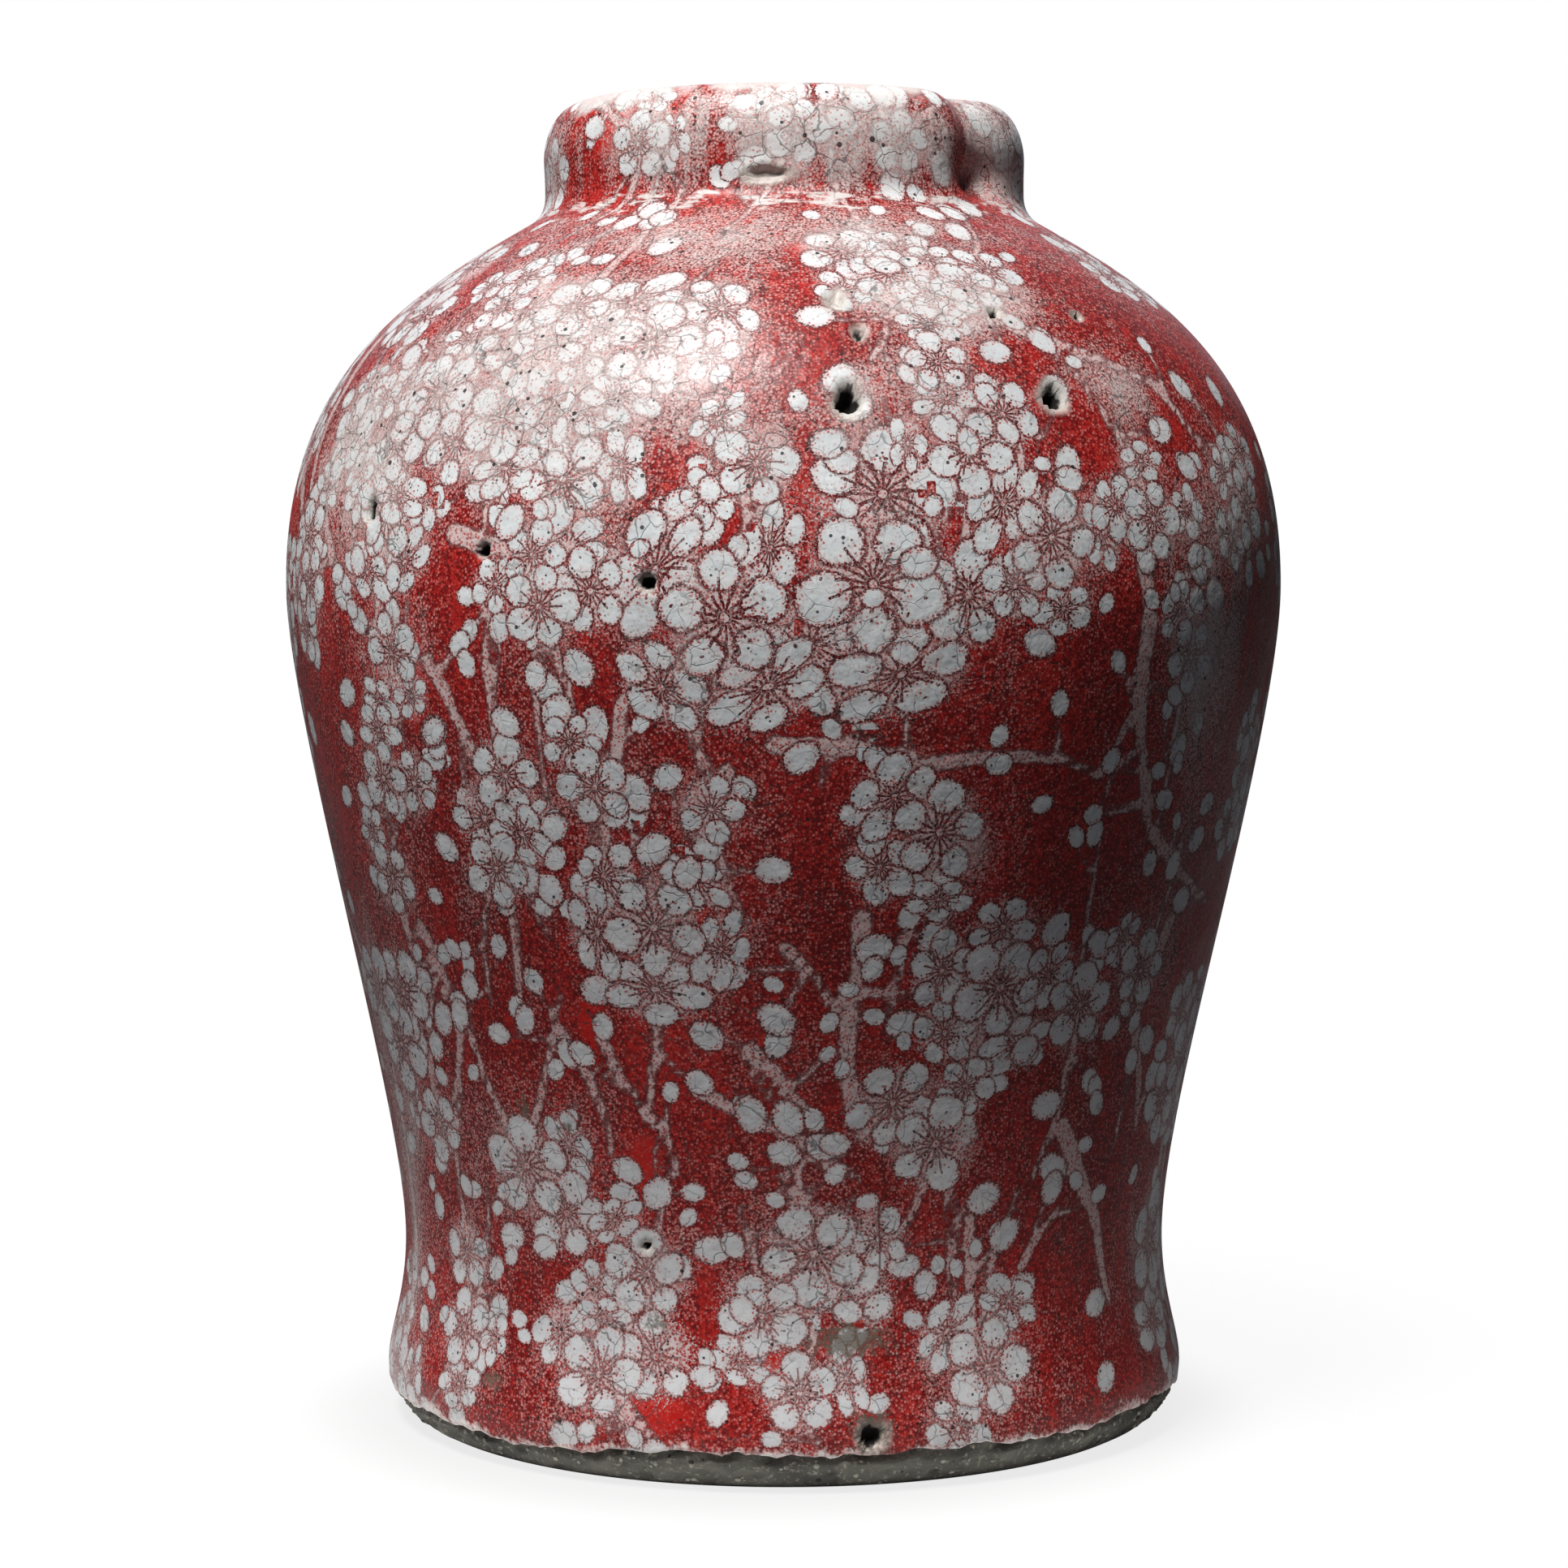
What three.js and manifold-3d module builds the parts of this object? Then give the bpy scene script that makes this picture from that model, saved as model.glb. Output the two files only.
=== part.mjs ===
// Raku vase: a baluster jar with a short collar. Four clay sections are luted together with slip,
// coated with white slip and then with a crackle glaze that stops short of the bare foot.
// Millimetres, +Z up, origin on the axis at the foot. Angles run from the front (-Y) towards +X.
import * as THREE from "three";
import { mergeVertices } from "three/addons/utils/BufferGeometryUtils.js";
import Module from "manifold-3d";

// Outline of the finished, glazed surface
const HEIGHT = 300;
const FOOT_RADIUS = 88;
const FLARE_RADIUS = 92.2;
const FLARE_HEIGHT = 12;
const WAIST_RADIUS = 88.3;
const WAIST_HEIGHT = 40;
const BELLY_RADIUS = 114;
const BELLY_HEIGHT = 190;
const COLLAR_RADIUS = 55.2;
const COLLAR_HEIGHT = 25;
const SHOULDER_PITCH = THREE.MathUtils.degToRad(30);
const LIP_OUTER_ROUND = 13;
const LIP_INNER_ROUND = 6;
const LIP_INNER_RUN = 4.4;
const MOUTH_GLAZE_DEPTH = 18;

// Fullness of each curved stretch: the length of its handles as a share of its own rise or run
const FOOT_ROUND = 0.4;
const FLARE_FULLNESS = 0.2;
const WAIST_FULLNESS = 0.5;
const WALL_FULLNESS = 0.21;
const SHOULDER_FULLNESS = 0.58;
const SHOULDER_SWEEP = 0.6;

// Clay, luting slip and coats
const WALL = 9;
const COLLAR_WALL = 9;
const FLOOR_THICKNESS = 10;
const LEDGE_WIDTH = 10.5;
const FOOT_LEDGE = 4;
const LUTING = 1;
const TONGUE_HEIGHT = 3;
const TONGUE_SHARE = 0.5;
const SEAT_DROP = 4;
const SLIP = 0.6;
const GLAZE = 0.6;
const BOND = 0.3;

// The edge where the glaze was wiped off the foot: a mean height and its uneven waves
const GLAZE_LINE = 10;
const GLAZE_WAVES = [
  { height: 1.2, count: 2, turn: 0.6 },
  { height: 0.8, count: 5, turn: 2.1 },
  { height: 0.5, count: 9, turn: 4.0 },
];

// Finger press in the collar, which also pulls the lip down
const PRESS_ANGLE = THREE.MathUtils.degToRad(52);
const PRESS_SPREAD = THREE.MathUtils.degToRad(11);
const PRESS_DEPTH = 3.2;
const LIP_DIP = 0.8;

// Craters where the coats blew off the clay. Rise is the share of the way up from belly to collar.
const CRATERS = [
  { name: "shoulder", angle: 7, rise: 0.46, width: 6, tall: 7 },
  { name: "right shoulder", angle: 32, rise: 0.47, width: 6, tall: 6 },
  { name: "upper shoulder", angle: 8, rise: 0.65, width: 4, tall: 4 },
  { name: "upper right", angle: 42, rise: 0.68, width: 4, tall: 3.5 },
  { name: "left belly", angle: -51, rise: 0.2, width: 4, tall: 6 },
  { name: "belly", angle: -14, rise: 0.02, width: 4, tall: 4 },
  { name: "collar seam", angle: -4, rise: 1.05, width: 10, tall: 5 },
];
const CRATER_DEPTH = 3;

// Fineness of the turned surfaces
const SEGMENTS = 36;
const ROWS = { runoff: 1, foot: 2, flare: 3, wall: 6, shoulder: 7, collar: 1, lip: 4, inside: 2 };
const FOOT_RUNOFF = 6;

const point = (radius, height) => new THREE.Vector2(radius, height);
const coat = GLAZE + BOND + SLIP + BOND;
const joint = LUTING + 2 * BOND;
const collarBase = HEIGHT - COLLAR_HEIGHT;
const seat = collarBase - SEAT_DROP;
const lipStart = HEIGHT - LIP_OUTER_ROUND;
const bore = COLLAR_RADIUS - coat - COLLAR_WALL;
const mouth = bore - coat;
const crest = mouth + LIP_INNER_RUN;
const floorBottom = FOOT_LEDGE + joint;
const floorTop = floorBottom + FLOOR_THICKNESS;

// The finished outline from below the foot, up the wall, over the lip and down into the mouth.
function finishedOutline() {
  const foot = point(FOOT_RADIUS, 0);
  const flare = point(FLARE_RADIUS, FLARE_HEIGHT);
  const waist = point(WAIST_RADIUS, WAIST_HEIGHT);
  const belly = point(BELLY_RADIUS, BELLY_HEIGHT);
  const neck = point(COLLAR_RADIUS, collarBase);
  const up = (from, rise) => point(from.x, from.y + rise);
  const waistRise = WAIST_HEIGHT - FLARE_HEIGHT;
  const wallHandle = WALL_FULLNESS * (BELLY_HEIGHT - WAIST_HEIGHT);
  const shoulderHandle = SHOULDER_FULLNESS * (collarBase - BELLY_HEIGHT);
  const sweep = SHOULDER_SWEEP * (BELLY_RADIUS - COLLAR_RADIUS);
  const beforeNeck = point(
    neck.x + sweep * Math.cos(SHOULDER_PITCH),
    neck.y - sweep * Math.sin(SHOULDER_PITCH),
  );
  const runoff = up(foot, -FOOT_RUNOFF);
  const lipTop = lipStart + LIP_OUTER_ROUND;
  const inside = lipTop - LIP_INNER_ROUND;
  const stretches = [
    [new THREE.LineCurve(runoff, foot), ROWS.runoff],
    [
      new THREE.CubicBezierCurve(
        foot,
        up(foot, FOOT_ROUND * FLARE_HEIGHT),
        up(flare, -FOOT_ROUND * FLARE_HEIGHT),
        flare,
      ),
      ROWS.foot,
    ],
    [
      new THREE.CubicBezierCurve(
        flare,
        up(flare, FLARE_FULLNESS * waistRise),
        up(waist, -WAIST_FULLNESS * waistRise),
        waist,
      ),
      ROWS.flare,
    ],
    [
      new THREE.CubicBezierCurve(waist, up(waist, wallHandle), up(belly, -wallHandle), belly),
      ROWS.wall,
    ],
    [
      new THREE.CubicBezierCurve(belly, up(belly, shoulderHandle), beforeNeck, neck),
      ROWS.shoulder,
    ],
    [new THREE.LineCurve(neck, point(COLLAR_RADIUS, lipStart)), ROWS.collar],
    [
      new THREE.EllipseCurve(crest, lipStart, COLLAR_RADIUS - crest, LIP_OUTER_ROUND, 0, Math.PI / 2),
      ROWS.lip,
    ],
    [
      new THREE.EllipseCurve(crest, inside, LIP_INNER_RUN, LIP_INNER_ROUND, Math.PI / 2, Math.PI),
      ROWS.inside,
    ],
    [new THREE.LineCurve(point(mouth, inside), point(mouth, HEIGHT - MOUTH_GLAZE_DEPTH)), 1],
  ];
  return stretches.flatMap(([curve, rows], i) => curve.getPoints(rows).slice(i ? 1 : 0));
}

// A line parallel to an outline, moved into the clay by a distance, facet by facet.
function inset(outline, distance) {
  const normals = outline.slice(1).map((end, i) => {
    const along = end.clone().sub(outline[i]).normalize();
    return point(along.y, -along.x);
  });
  return outline.map((place, i) => {
    const before = normals[Math.max(i - 1, 0)];
    const after = normals[Math.min(i, normals.length - 1)];
    const middle = before.clone().add(after).normalize();
    return place.clone().addScaledVector(middle, -distance / middle.dot(before));
  });
}

// The stretch of a rising outline between two heights, with its ends on the outline's facets.
function between(outline, low, high) {
  const at = (height) => {
    const i = outline.findIndex((end, k) => k > 0 && end.y >= height);
    const share = (height - outline[i - 1].y) / (outline[i].y - outline[i - 1].y);
    return outline[i - 1].clone().lerp(outline[i], share);
  };
  return [at(low), ...outline.filter((p) => p.y > low && p.y < high), at(high)];
}

// How far the finger press reaches at a place on the collar: 0 outside it, 1 at its deepest.
function pressShare(angle, height) {
  const turn = THREE.MathUtils.euclideanModulo(angle - PRESS_ANGLE + Math.PI, 2 * Math.PI) - Math.PI;
  const rise = THREE.MathUtils.clamp((height - collarBase) / (lipStart - collarBase), 0, 1);
  return rise * Math.exp(-((turn / PRESS_SPREAD) ** 2));
}

// A geometry revolved about the axis, with the finger press worked into the part above the shoulder.
function turned(outline) {
  const geometry = new THREE.LatheGeometry(outline, SEGMENTS).rotateX(Math.PI / 2);
  const places = geometry.getAttribute("position");
  const place = new THREE.Vector3();
  for (let i = 0; i < places.count; i++) {
    place.fromBufferAttribute(places, i);
    const radius = Math.hypot(place.x, place.y);
    if (radius < BOND) continue;
    const share = pressShare(Math.atan2(place.x, -place.y), place.z);
    const pushed = (radius - PRESS_DEPTH * share) / radius;
    places.setXYZ(i, place.x * pushed, place.y * pushed, place.z - LIP_DIP * share);
  }
  return geometry;
}

const ring = (outline) => turned([...outline, outline[0]]);

// Solids for cutting, and back to geometry
const wasm = await Module();
wasm.setup();

function solidOf(geometry) {
  const bare = geometry.clone();
  bare.deleteAttribute("normal");
  bare.deleteAttribute("uv");
  const merged = mergeVertices(bare);
  const corners = merged.index.array;
  const triangles = [];
  for (let i = 0; i < corners.length; i += 3) {
    const [a, b, c] = corners.slice(i, i + 3);
    if (a !== b && b !== c && c !== a) triangles.push(a, b, c);
  }
  const vertProperties = new Float32Array(merged.getAttribute("position").array);
  return new wasm.Manifold(
    new wasm.Mesh({ numProp: 3, vertProperties, triVerts: new Uint32Array(triangles) }),
  );
}

function geometryOf(solid) {
  const { vertProperties, triVerts } = solid.getMesh();
  const geometry = new THREE.BufferGeometry();
  geometry.setAttribute("position", new THREE.BufferAttribute(vertProperties, 3));
  geometry.setIndex(new THREE.BufferAttribute(triVerts, 1));
  geometry.computeVertexNormals();
  return geometry;
}

const finished = finishedOutline();
const clayOuter = inset(finished, coat);
const clayInner = inset(finished, coat + WALL);

// The vessel filled up to an outline: its underside and its fill level step clear by a margin.
function filledVessel(depth, margin) {
  const line = inset(finished, depth);
  const start = line[0];
  const end = line[line.length - 1];
  const under = start.y - margin;
  const level = end.y + margin;
  return solidOf(turned([point(0, under), point(start.x, under), ...line, point(0, level)]));
}

// What the foot is wiped clean with: a disc whose upper face rises and falls with the glaze line.
function footWipe() {
  const reach = FLARE_RADIUS + WALL;
  const low = -FOOT_RUNOFF - WALL;
  const geometry = turned([point(0, low), point(reach, low), point(reach, GLAZE_LINE), point(0, GLAZE_LINE)]);
  const places = geometry.getAttribute("position");
  for (let i = 0; i < places.count; i++) {
    if (places.getZ(i) < GLAZE_LINE) continue;
    const radius = Math.hypot(places.getX(i), places.getY(i));
    const angle = Math.atan2(places.getX(i), -places.getY(i));
    const wave = ({ height, count, turn }) => height * Math.sin(count * angle + turn);
    const rise = GLAZE_WAVES.reduce((sum, each) => sum + wave(each), 0);
    places.setZ(i, GLAZE_LINE + (radius / reach) * rise);
  }
  return solidOf(geometry);
}

// One crater as a flattened ball set into the finished surface.
function crater({ angle, rise, width, tall }) {
  const height = BELLY_HEIGHT + rise * (collarBase - BELLY_HEIGHT);
  const surface = between(finished.slice(0, -ROWS.inside - 1), height, height + 1)[0];
  const turn = THREE.MathUtils.degToRad(angle);
  const ball = new THREE.SphereGeometry(1, 8, 6).scale(width / 2, CRATER_DEPTH, tall / 2);
  return solidOf(ball.translate(0, -surface.x, height).rotateZ(turn));
}

// A coat lies between two depths under the finished surface, off the foot and out of the craters.
function coatGeometry(depth, thickness) {
  const full = filledVessel(depth, 0).subtract(filledVessel(depth + thickness, WALL));
  const wiped = full.subtract(footWipe());
  return geometryOf(CRATERS.reduce((left, each) => left.subtract(crater(each)), wiped));
}

// Clay sections, from the foot upwards
const rebate = between(clayInner, floorTop, floorTop + WALL)[0].x;
const ledgeRadius = rebate - LEDGE_WIDTH;

function floorDisc() {
  const edge = rebate - BOND;
  return turned([point(0, floorBottom), point(edge, floorBottom), point(edge, floorTop), point(0, floorTop)]);
}

function floorLuting() {
  const low = FOOT_LEDGE + BOND;
  const edge = rebate - BOND;
  return ring([
    point(ledgeRadius, low),
    point(edge, low),
    point(edge, low + LUTING),
    point(ledgeRadius, low + LUTING),
  ]);
}

// The V-shaped tongue across the belly joint, from the outer face to the inner one.
function bellyTongue(height) {
  const outer = BELLY_RADIUS - coat;
  const inner = outer - WALL;
  const flat = (WALL * (1 - TONGUE_SHARE)) / 2;
  return [
    point(outer, height),
    point(outer - flat, height),
    point(outer - WALL / 2, height + TONGUE_HEIGHT),
    point(inner + flat, height),
    point(inner, height),
  ];
}

const bellyLow = BELLY_HEIGHT - joint / 2;
const bellyHigh = BELLY_HEIGHT + joint / 2;

function lowerWall() {
  const outer = between(clayOuter, 0, bellyLow).slice(0, -1);
  const inner = between(clayInner, floorTop, bellyLow).slice(0, -1).reverse();
  return ring([
    point(ledgeRadius, 0),
    ...outer,
    ...bellyTongue(bellyLow),
    ...inner,
    point(rebate, FOOT_LEDGE),
    point(ledgeRadius, FOOT_LEDGE),
  ]);
}

function bellyLuting() {
  return ring([
    ...bellyTongue(bellyLow + BOND).reverse(),
    ...bellyTongue(bellyLow + BOND + LUTING),
  ]);
}

const seatLow = seat - joint / 2;
const seatHigh = seat + joint / 2;

function shoulderWall() {
  const outer = between(clayOuter, bellyHigh, seatLow).slice(1);
  const neckRow = ROWS.runoff + ROWS.foot + ROWS.flare + ROWS.wall + ROWS.shoulder;
  const inner = clayInner.slice(0, neckRow).filter((p) => p.y > bellyHigh).reverse();
  return ring([
    ...outer,
    point(bore, seatLow),
    point(bore, seatLow - WALL / 2),
    ...inner,
    ...bellyTongue(bellyHigh).reverse(),
  ]);
}

function collarLuting() {
  const low = seatLow + BOND;
  const edge = between(clayOuter, low, low + LUTING);
  return ring([
    point(bore, low),
    edge[0],
    edge[edge.length - 1],
    point(bore, low + LUTING),
  ]);
}

function neckCollar() {
  const rising = clayOuter.filter((p) => p.y > seatHigh);
  return ring([
    point(bore, seatHigh),
    between(clayOuter, seatHigh, seatHigh + BOND)[0],
    ...rising,
  ]);
}

// Finishes
const finish = (color, roughness) => new THREE.MeshStandardMaterial({ color, roughness, metalness: 0 });
const SMOKED_CLAY = finish("#4c4742", 0.95);
const LUTING_SLIP = finish("#5d564f", 0.95);
const WHITE_SLIP = finish("#c9ccc6", 0.7);
const RED_GLAZE = finish("#a5312c", 0.25);

const PIECES = [
  ["floor_disc", floorDisc(), SMOKED_CLAY],
  ["floor_luting", floorLuting(), LUTING_SLIP],
  ["lower_wall", lowerWall(), SMOKED_CLAY],
  ["belly_luting", bellyLuting(), LUTING_SLIP],
  ["shoulder_wall", shoulderWall(), SMOKED_CLAY],
  ["collar_luting", collarLuting(), LUTING_SLIP],
  ["neck_collar", neckCollar(), SMOKED_CLAY],
  ["slip_coat", coatGeometry(GLAZE + BOND, SLIP), WHITE_SLIP],
  ["glaze_coat", coatGeometry(0, GLAZE), RED_GLAZE],
];

const vase = new THREE.Group();
for (const [name, geometry, material] of PIECES) {
  const piece = new THREE.Mesh(geometry, material);
  piece.name = name;
  vase.add(piece);
}

export default vase;
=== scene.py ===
"""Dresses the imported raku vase: a glazed, printed skin over turned clay sections, on a pale stage."""

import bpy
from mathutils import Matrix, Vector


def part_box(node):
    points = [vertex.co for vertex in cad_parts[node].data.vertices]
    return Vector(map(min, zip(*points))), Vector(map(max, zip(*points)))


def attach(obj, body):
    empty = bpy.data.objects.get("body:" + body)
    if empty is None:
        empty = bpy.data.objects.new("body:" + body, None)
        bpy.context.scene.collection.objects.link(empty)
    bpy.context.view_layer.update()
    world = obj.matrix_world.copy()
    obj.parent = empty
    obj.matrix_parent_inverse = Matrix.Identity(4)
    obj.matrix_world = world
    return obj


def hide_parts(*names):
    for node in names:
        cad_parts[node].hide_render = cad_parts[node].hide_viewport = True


bl_info = {
    "name": "Raku Vase",
    "version": (1, 0, 0),
    "blender": (4, 5, 0),
    "location": "View3D > Sidebar > Vase",
    "description": "Makes the glazed skin, the clay sections and the stage of a raku vase",
    "category": "Object",
}

import math

import bmesh
import bpy
import numpy as np
from bpy.props import FloatProperty, FloatVectorProperty, IntProperty, PointerProperty
from mathutils import Vector

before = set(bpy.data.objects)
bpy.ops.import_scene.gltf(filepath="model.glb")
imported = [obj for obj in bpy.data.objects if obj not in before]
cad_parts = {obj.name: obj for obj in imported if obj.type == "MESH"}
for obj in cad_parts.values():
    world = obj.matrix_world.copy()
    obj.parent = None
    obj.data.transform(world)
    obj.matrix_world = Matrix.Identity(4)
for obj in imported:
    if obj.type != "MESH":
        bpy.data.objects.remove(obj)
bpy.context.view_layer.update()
MM = 0.001
BODY = "root"

# The shape of the finished outline between its named sizes, as in the solids
FOOT_ROUND = 0.4
FLARE_FULLNESS = 0.2
WAIST_FULLNESS = 0.5
WALL_FULLNESS = 0.21
SHOULDER_FULLNESS = 0.58
SHOULDER_SWEEP = 0.6
SHOULDER_PITCH = math.radians(30)
CREASE = 4.5
FOOT_WORN = 4.2
FOOT_RUNOFF = 6
LIP_OUTER_ROUND = 13
LIP_INNER_ROUND = 6
LIP_INNER_RUN = 4.4
MOUTH_GLAZE_DEPTH = 18

# The finger press in the collar: its angle, its spread to the left and right, and depths in mm
PRESS_ANGLE = math.radians(52)
PRESS_SPREAD = (math.radians(7), math.radians(16))
PRESS_DEPTH = 3.2
LIP_DIP = 0.8

# Craters and pinholes: angle in degrees; height, width, tallness and depth in mm; share of soot inside
CRATERS = [
    (7, 229, 5.0, 6.6, 4.2, 1.0),
    (32, 230, 5.0, 5.6, 3.2, 0.9),
    (6.5, 250, 4.2, 5.0, 1.6, 0.35),
    (9, 243, 3.2, 3.8, 1.8, 0.6),
    (28, 248, 2.8, 2.8, 2.2, 0.9),
    (42, 248, 3.2, 2.6, 2.4, 0.9),
    (-51, 207, 3.0, 5.0, 2.6, 1.0),
    (-33, 198.5, 2.8, 3.4, 2.4, 1.0),
    (-14, 192, 3.2, 3.2, 2.6, 1.0),
    (-19, 52, 2.4, 2.4, 1.6, 0.7),
    (11.5, 12.5, 5.0, 5.6, 3.0, 1.0),
    (-4, 279.5, 9.0, 3.2, 0.9, 0.1),
    (121, 226, 5.0, 6.0, 3.2, 1.0),
    (152, 66, 3.0, 3.4, 2.2, 0.9),
    (-141, 212, 4.0, 5.0, 3.0, 1.0),
    (-108, 148, 2.8, 3.0, 2.0, 0.9),
    (171, 244, 3.4, 3.0, 2.2, 0.8),
    (96, 186, 3.0, 3.4, 2.2, 0.9),
    (-166, 104, 3.2, 3.2, 2.2, 0.9),
]

# Fresh red, worn pale and smoke-stained patches, the worn ones on the lit shoulder and collar partly a
# painted highlight: angle, height, half width and half height in mm
FRESH_PATCHES = [
    (-45, 170, 7, 12),
    (-43, 290, 9, 6),
    (-24, 100, 4, 8),
    (-1, 27, 4, 9),
    (-18, 70, 4, 9),
    (-16, 17, 8, 5),
    (4, 262, 6, 4),
    (100, 120, 10, 14),
    (160, 200, 9, 12),
    (-120, 90, 8, 15),
    (-90, 240, 10, 8),
]
WORN_AND_HIGHLIGHT_PATCHES = [
    (-28, 236, 42, 26),
    (-2, 266, 70, 13),
    (-56, 222, 22, 22),
    (22, 250, 26, 10),
    (9, 230, 11, 11),
    (42, 233, 13, 11),
    (-70, 60, 12, 40),
    (55, 175, 14, 40),
    (-4, 289, 60, 14),
    (64, 288, 16, 14),
    (130, 240, 40, 22),
    (-150, 190, 26, 30),
    (180, 90, 24, 26),
]
SOOT_PATCHES = [
    (9, 32.5, 9, 3.4),
    (11.5, 13.5, 4.6, 4.6),
    (-36, 80, 1.4, 2.6),
    (-29.5, 77, 1.4, 1.8),
    (-18, 36, 2.6, 1.6),
    (-44, 19, 3, 2),
    (140, 50, 6, 3),
    (-130, 35, 5, 2.4),
]

# Clusters on the front: angle, height, blossom radius in mm and number of blossoms
FRONT_CLUSTERS = [
    (9, 192, 16.5, 6),
    (29, 201, 11.5, 5),
    (20, 219, 10, 4),
    (-24, 213, 11.5, 6),
    (-48, 206, 11, 6),
    (-3, 216, 9.5, 3),
    (-6, 185, 15, 4),
    (17.5, 141, 11.5, 4),
    (-15, 121, 12, 6),
    (27, 107, 12, 5),
    (40, 102, 10, 2),
    (-32, 152, 9.5, 3),
    (-35, 132, 9, 2),
    (-54, 128, 9, 2),
    (-47, 177, 9.5, 3),
    (-26, 187, 9.5, 4),
    (-37, 67, 12.5, 3),
    (4, 51, 12.5, 4),
    (-3, 38, 10, 2),
    (20, 74, 11, 3),
    (-19, 46, 10.5, 3),
    (29, 25, 11.5, 4),
    (-26, 24, 11, 4),
    (-52, 45, 9, 1),
    (-21, 150, 8.5, 2),
    (-52, 150, 9, 3),
    (-8, 146, 8, 1),
    (2, 22, 9, 2),
    (-52, 28, 9.5, 3),
    (-44, 232, 11.5, 9),
    (-33, 226, 10.5, 5),
    (-60, 224, 10, 5),
    (-16, 241, 12.5, 8),
    (-29, 250, 10, 4),
    (15, 256, 10, 5),
    (26, 253, 9, 4),
    (18, 237, 8, 2),
    (50, 176, 9.5, 2),
    (43, 205, 9.5, 4),
    (63, 208, 10, 4),
    (51, 108, 9.5, 2),
    (-42, 257, 8, 3),
    (-35, 287, 8.5, 3),
    (3, 289, 8, 2),
    (27, 287, 7.5, 1),
    (-55, 73, 9.5, 2),
    (62, 258, 9, 3),
]

# Branches on the front: half width in mm, then angles and heights along each
FRONT_BRANCHES = [
    (2.0, (-1, 159), (16, 155), (37, 152), (44, 158)),
    (3.0, (39, 212), (42, 184), (45, 150), (48, 138), (66, 121)),
    (1.5, (-23, 97), (-18, 82), (-14, 68)),
    (2.2, (56, 118), (52, 96), (57, 72)),
    (1.8, (-50, 118), (-46, 98), (-50, 80)),
    (2.3, (9, 123), (8, 103), (10, 76)),
    (1.5, (0, 117), (5, 107), (8, 98)),
    (1.8, (-11, 87), (0, 77), (10, 67)),
    (1.6, (-6, 154), (-10, 135)),
    (1.6, (-17, 168), (-18, 144)),
    (1.8, (-41, 176), (-34, 147)),
    (2.4, (-37, 202), (-24, 200), (-14, 196)),
    (2.0, (-64, 212), (-53, 182)),
    (1.9, (30, 245), (49, 234), (55, 219)),
    (2.4, (40, 75), (54, 34)),
    (1.6, (-29, 98), (-23, 72)),
    (1.5, (26, 57), (27, 36)),
    (1.7, (-4, 96), (8, 73)),
    (1.5, (17, 126), (19, 114)),
    (1.3, (35, 45), (41, 57)),
]

# How far round the front reaches on either side, and where the seam of the print stands
FRONT = math.radians(60)
SEAM = math.radians(12.8)


# Kinds of node that the trees use most
MATH = "ShaderNodeMath"
VECTOR = "ShaderNodeVectorMath"
RANGE = "ShaderNodeMapRange"
MIX = "ShaderNodeMix"
NOISE = "ShaderNodeTexNoise"
CELLS = "ShaderNodeTexVoronoi"


def linear(code):
    """The linear colour of an sRGB hex code."""
    parts = [int(code[i : i + 2], 16) / 255 for i in (0, 2, 4)]
    return [c / 12.92 if c <= 0.04045 else ((c + 0.055) / 1.055) ** 2.4 for c in parts]


def add(tree, kind, links=(), **settings):
    """Adds a node with its settings; an input takes a value, a node, or a node with its output's name."""
    node = tree.nodes.new(kind)
    for name, value in settings.items():
        setattr(node, name, value)
    sockets = [socket for socket in node.inputs if socket.enabled]
    named = {socket.name: socket for socket in reversed(sockets)}
    for key, value in links.items() if isinstance(links, dict) else enumerate(links):
        socket = named[key] if isinstance(key, str) else sockets[key]
        if isinstance(value, bpy.types.Node):
            value = (value, next(output.name for output in value.outputs if output.enabled))
        if isinstance(value, tuple) and isinstance(value[0], bpy.types.Node):
            source = next(o for o in value[0].outputs if o.enabled and o.name == value[1])
            tree.links.new(source, socket)
        else:
            socket.default_value = value
    return node


def new_tree(name, kind, inputs, outputs):
    """An empty tree with named sockets, and the node that gives its inputs."""
    tree = bpy.data.node_groups.new(name, kind)
    for way, sockets in (("INPUT", inputs), ("OUTPUT", outputs)):
        for label, sort in sockets.items():
            tree.interface.new_socket(label, in_out=way, socket_type="NodeSocket" + sort)
    return tree, add(tree, "NodeGroupInput")


# Properties

def size_field(name, description, default):
    return FloatProperty(name=name, description=description, unit="LENGTH", default=default)


def colour_field(name, description, code):
    return FloatVectorProperty(name=name, description=description, subtype="COLOR", default=linear(code))


class VaseForm(bpy.types.PropertyGroup):
    height: size_field("Height", "Foot to lip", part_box("glaze_coat")[1][2])
    belly_radius: size_field("Belly radius", "At the widest level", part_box("glaze_coat")[1][0])
    belly_height: size_field("Belly height", "Height of the widest level", 0.190)
    foot_radius: size_field("Foot radius", "At the table", 0.088)
    flare_radius: size_field("Flare radius", "Where the foot swells", 0.0922)
    flare_height: size_field("Flare height", "Height of the swell", 0.012)
    waist_radius: size_field("Waist radius", "Above the foot", 0.0883)
    waist_height: size_field("Waist height", "Height of the waist", 0.040)
    collar_radius: size_field("Collar radius", "Outside of the collar", 0.0552)
    collar_height: size_field("Collar height", "From the shoulder to the lip", 0.025)
    wall: size_field("Wall", "Clay thickness", 0.009)
    coat: size_field("Coat", "Slip and glaze together", 0.0018)
    glaze_line: size_field("Glaze line", "Mean height where the glaze stops", 0.0075)


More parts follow.
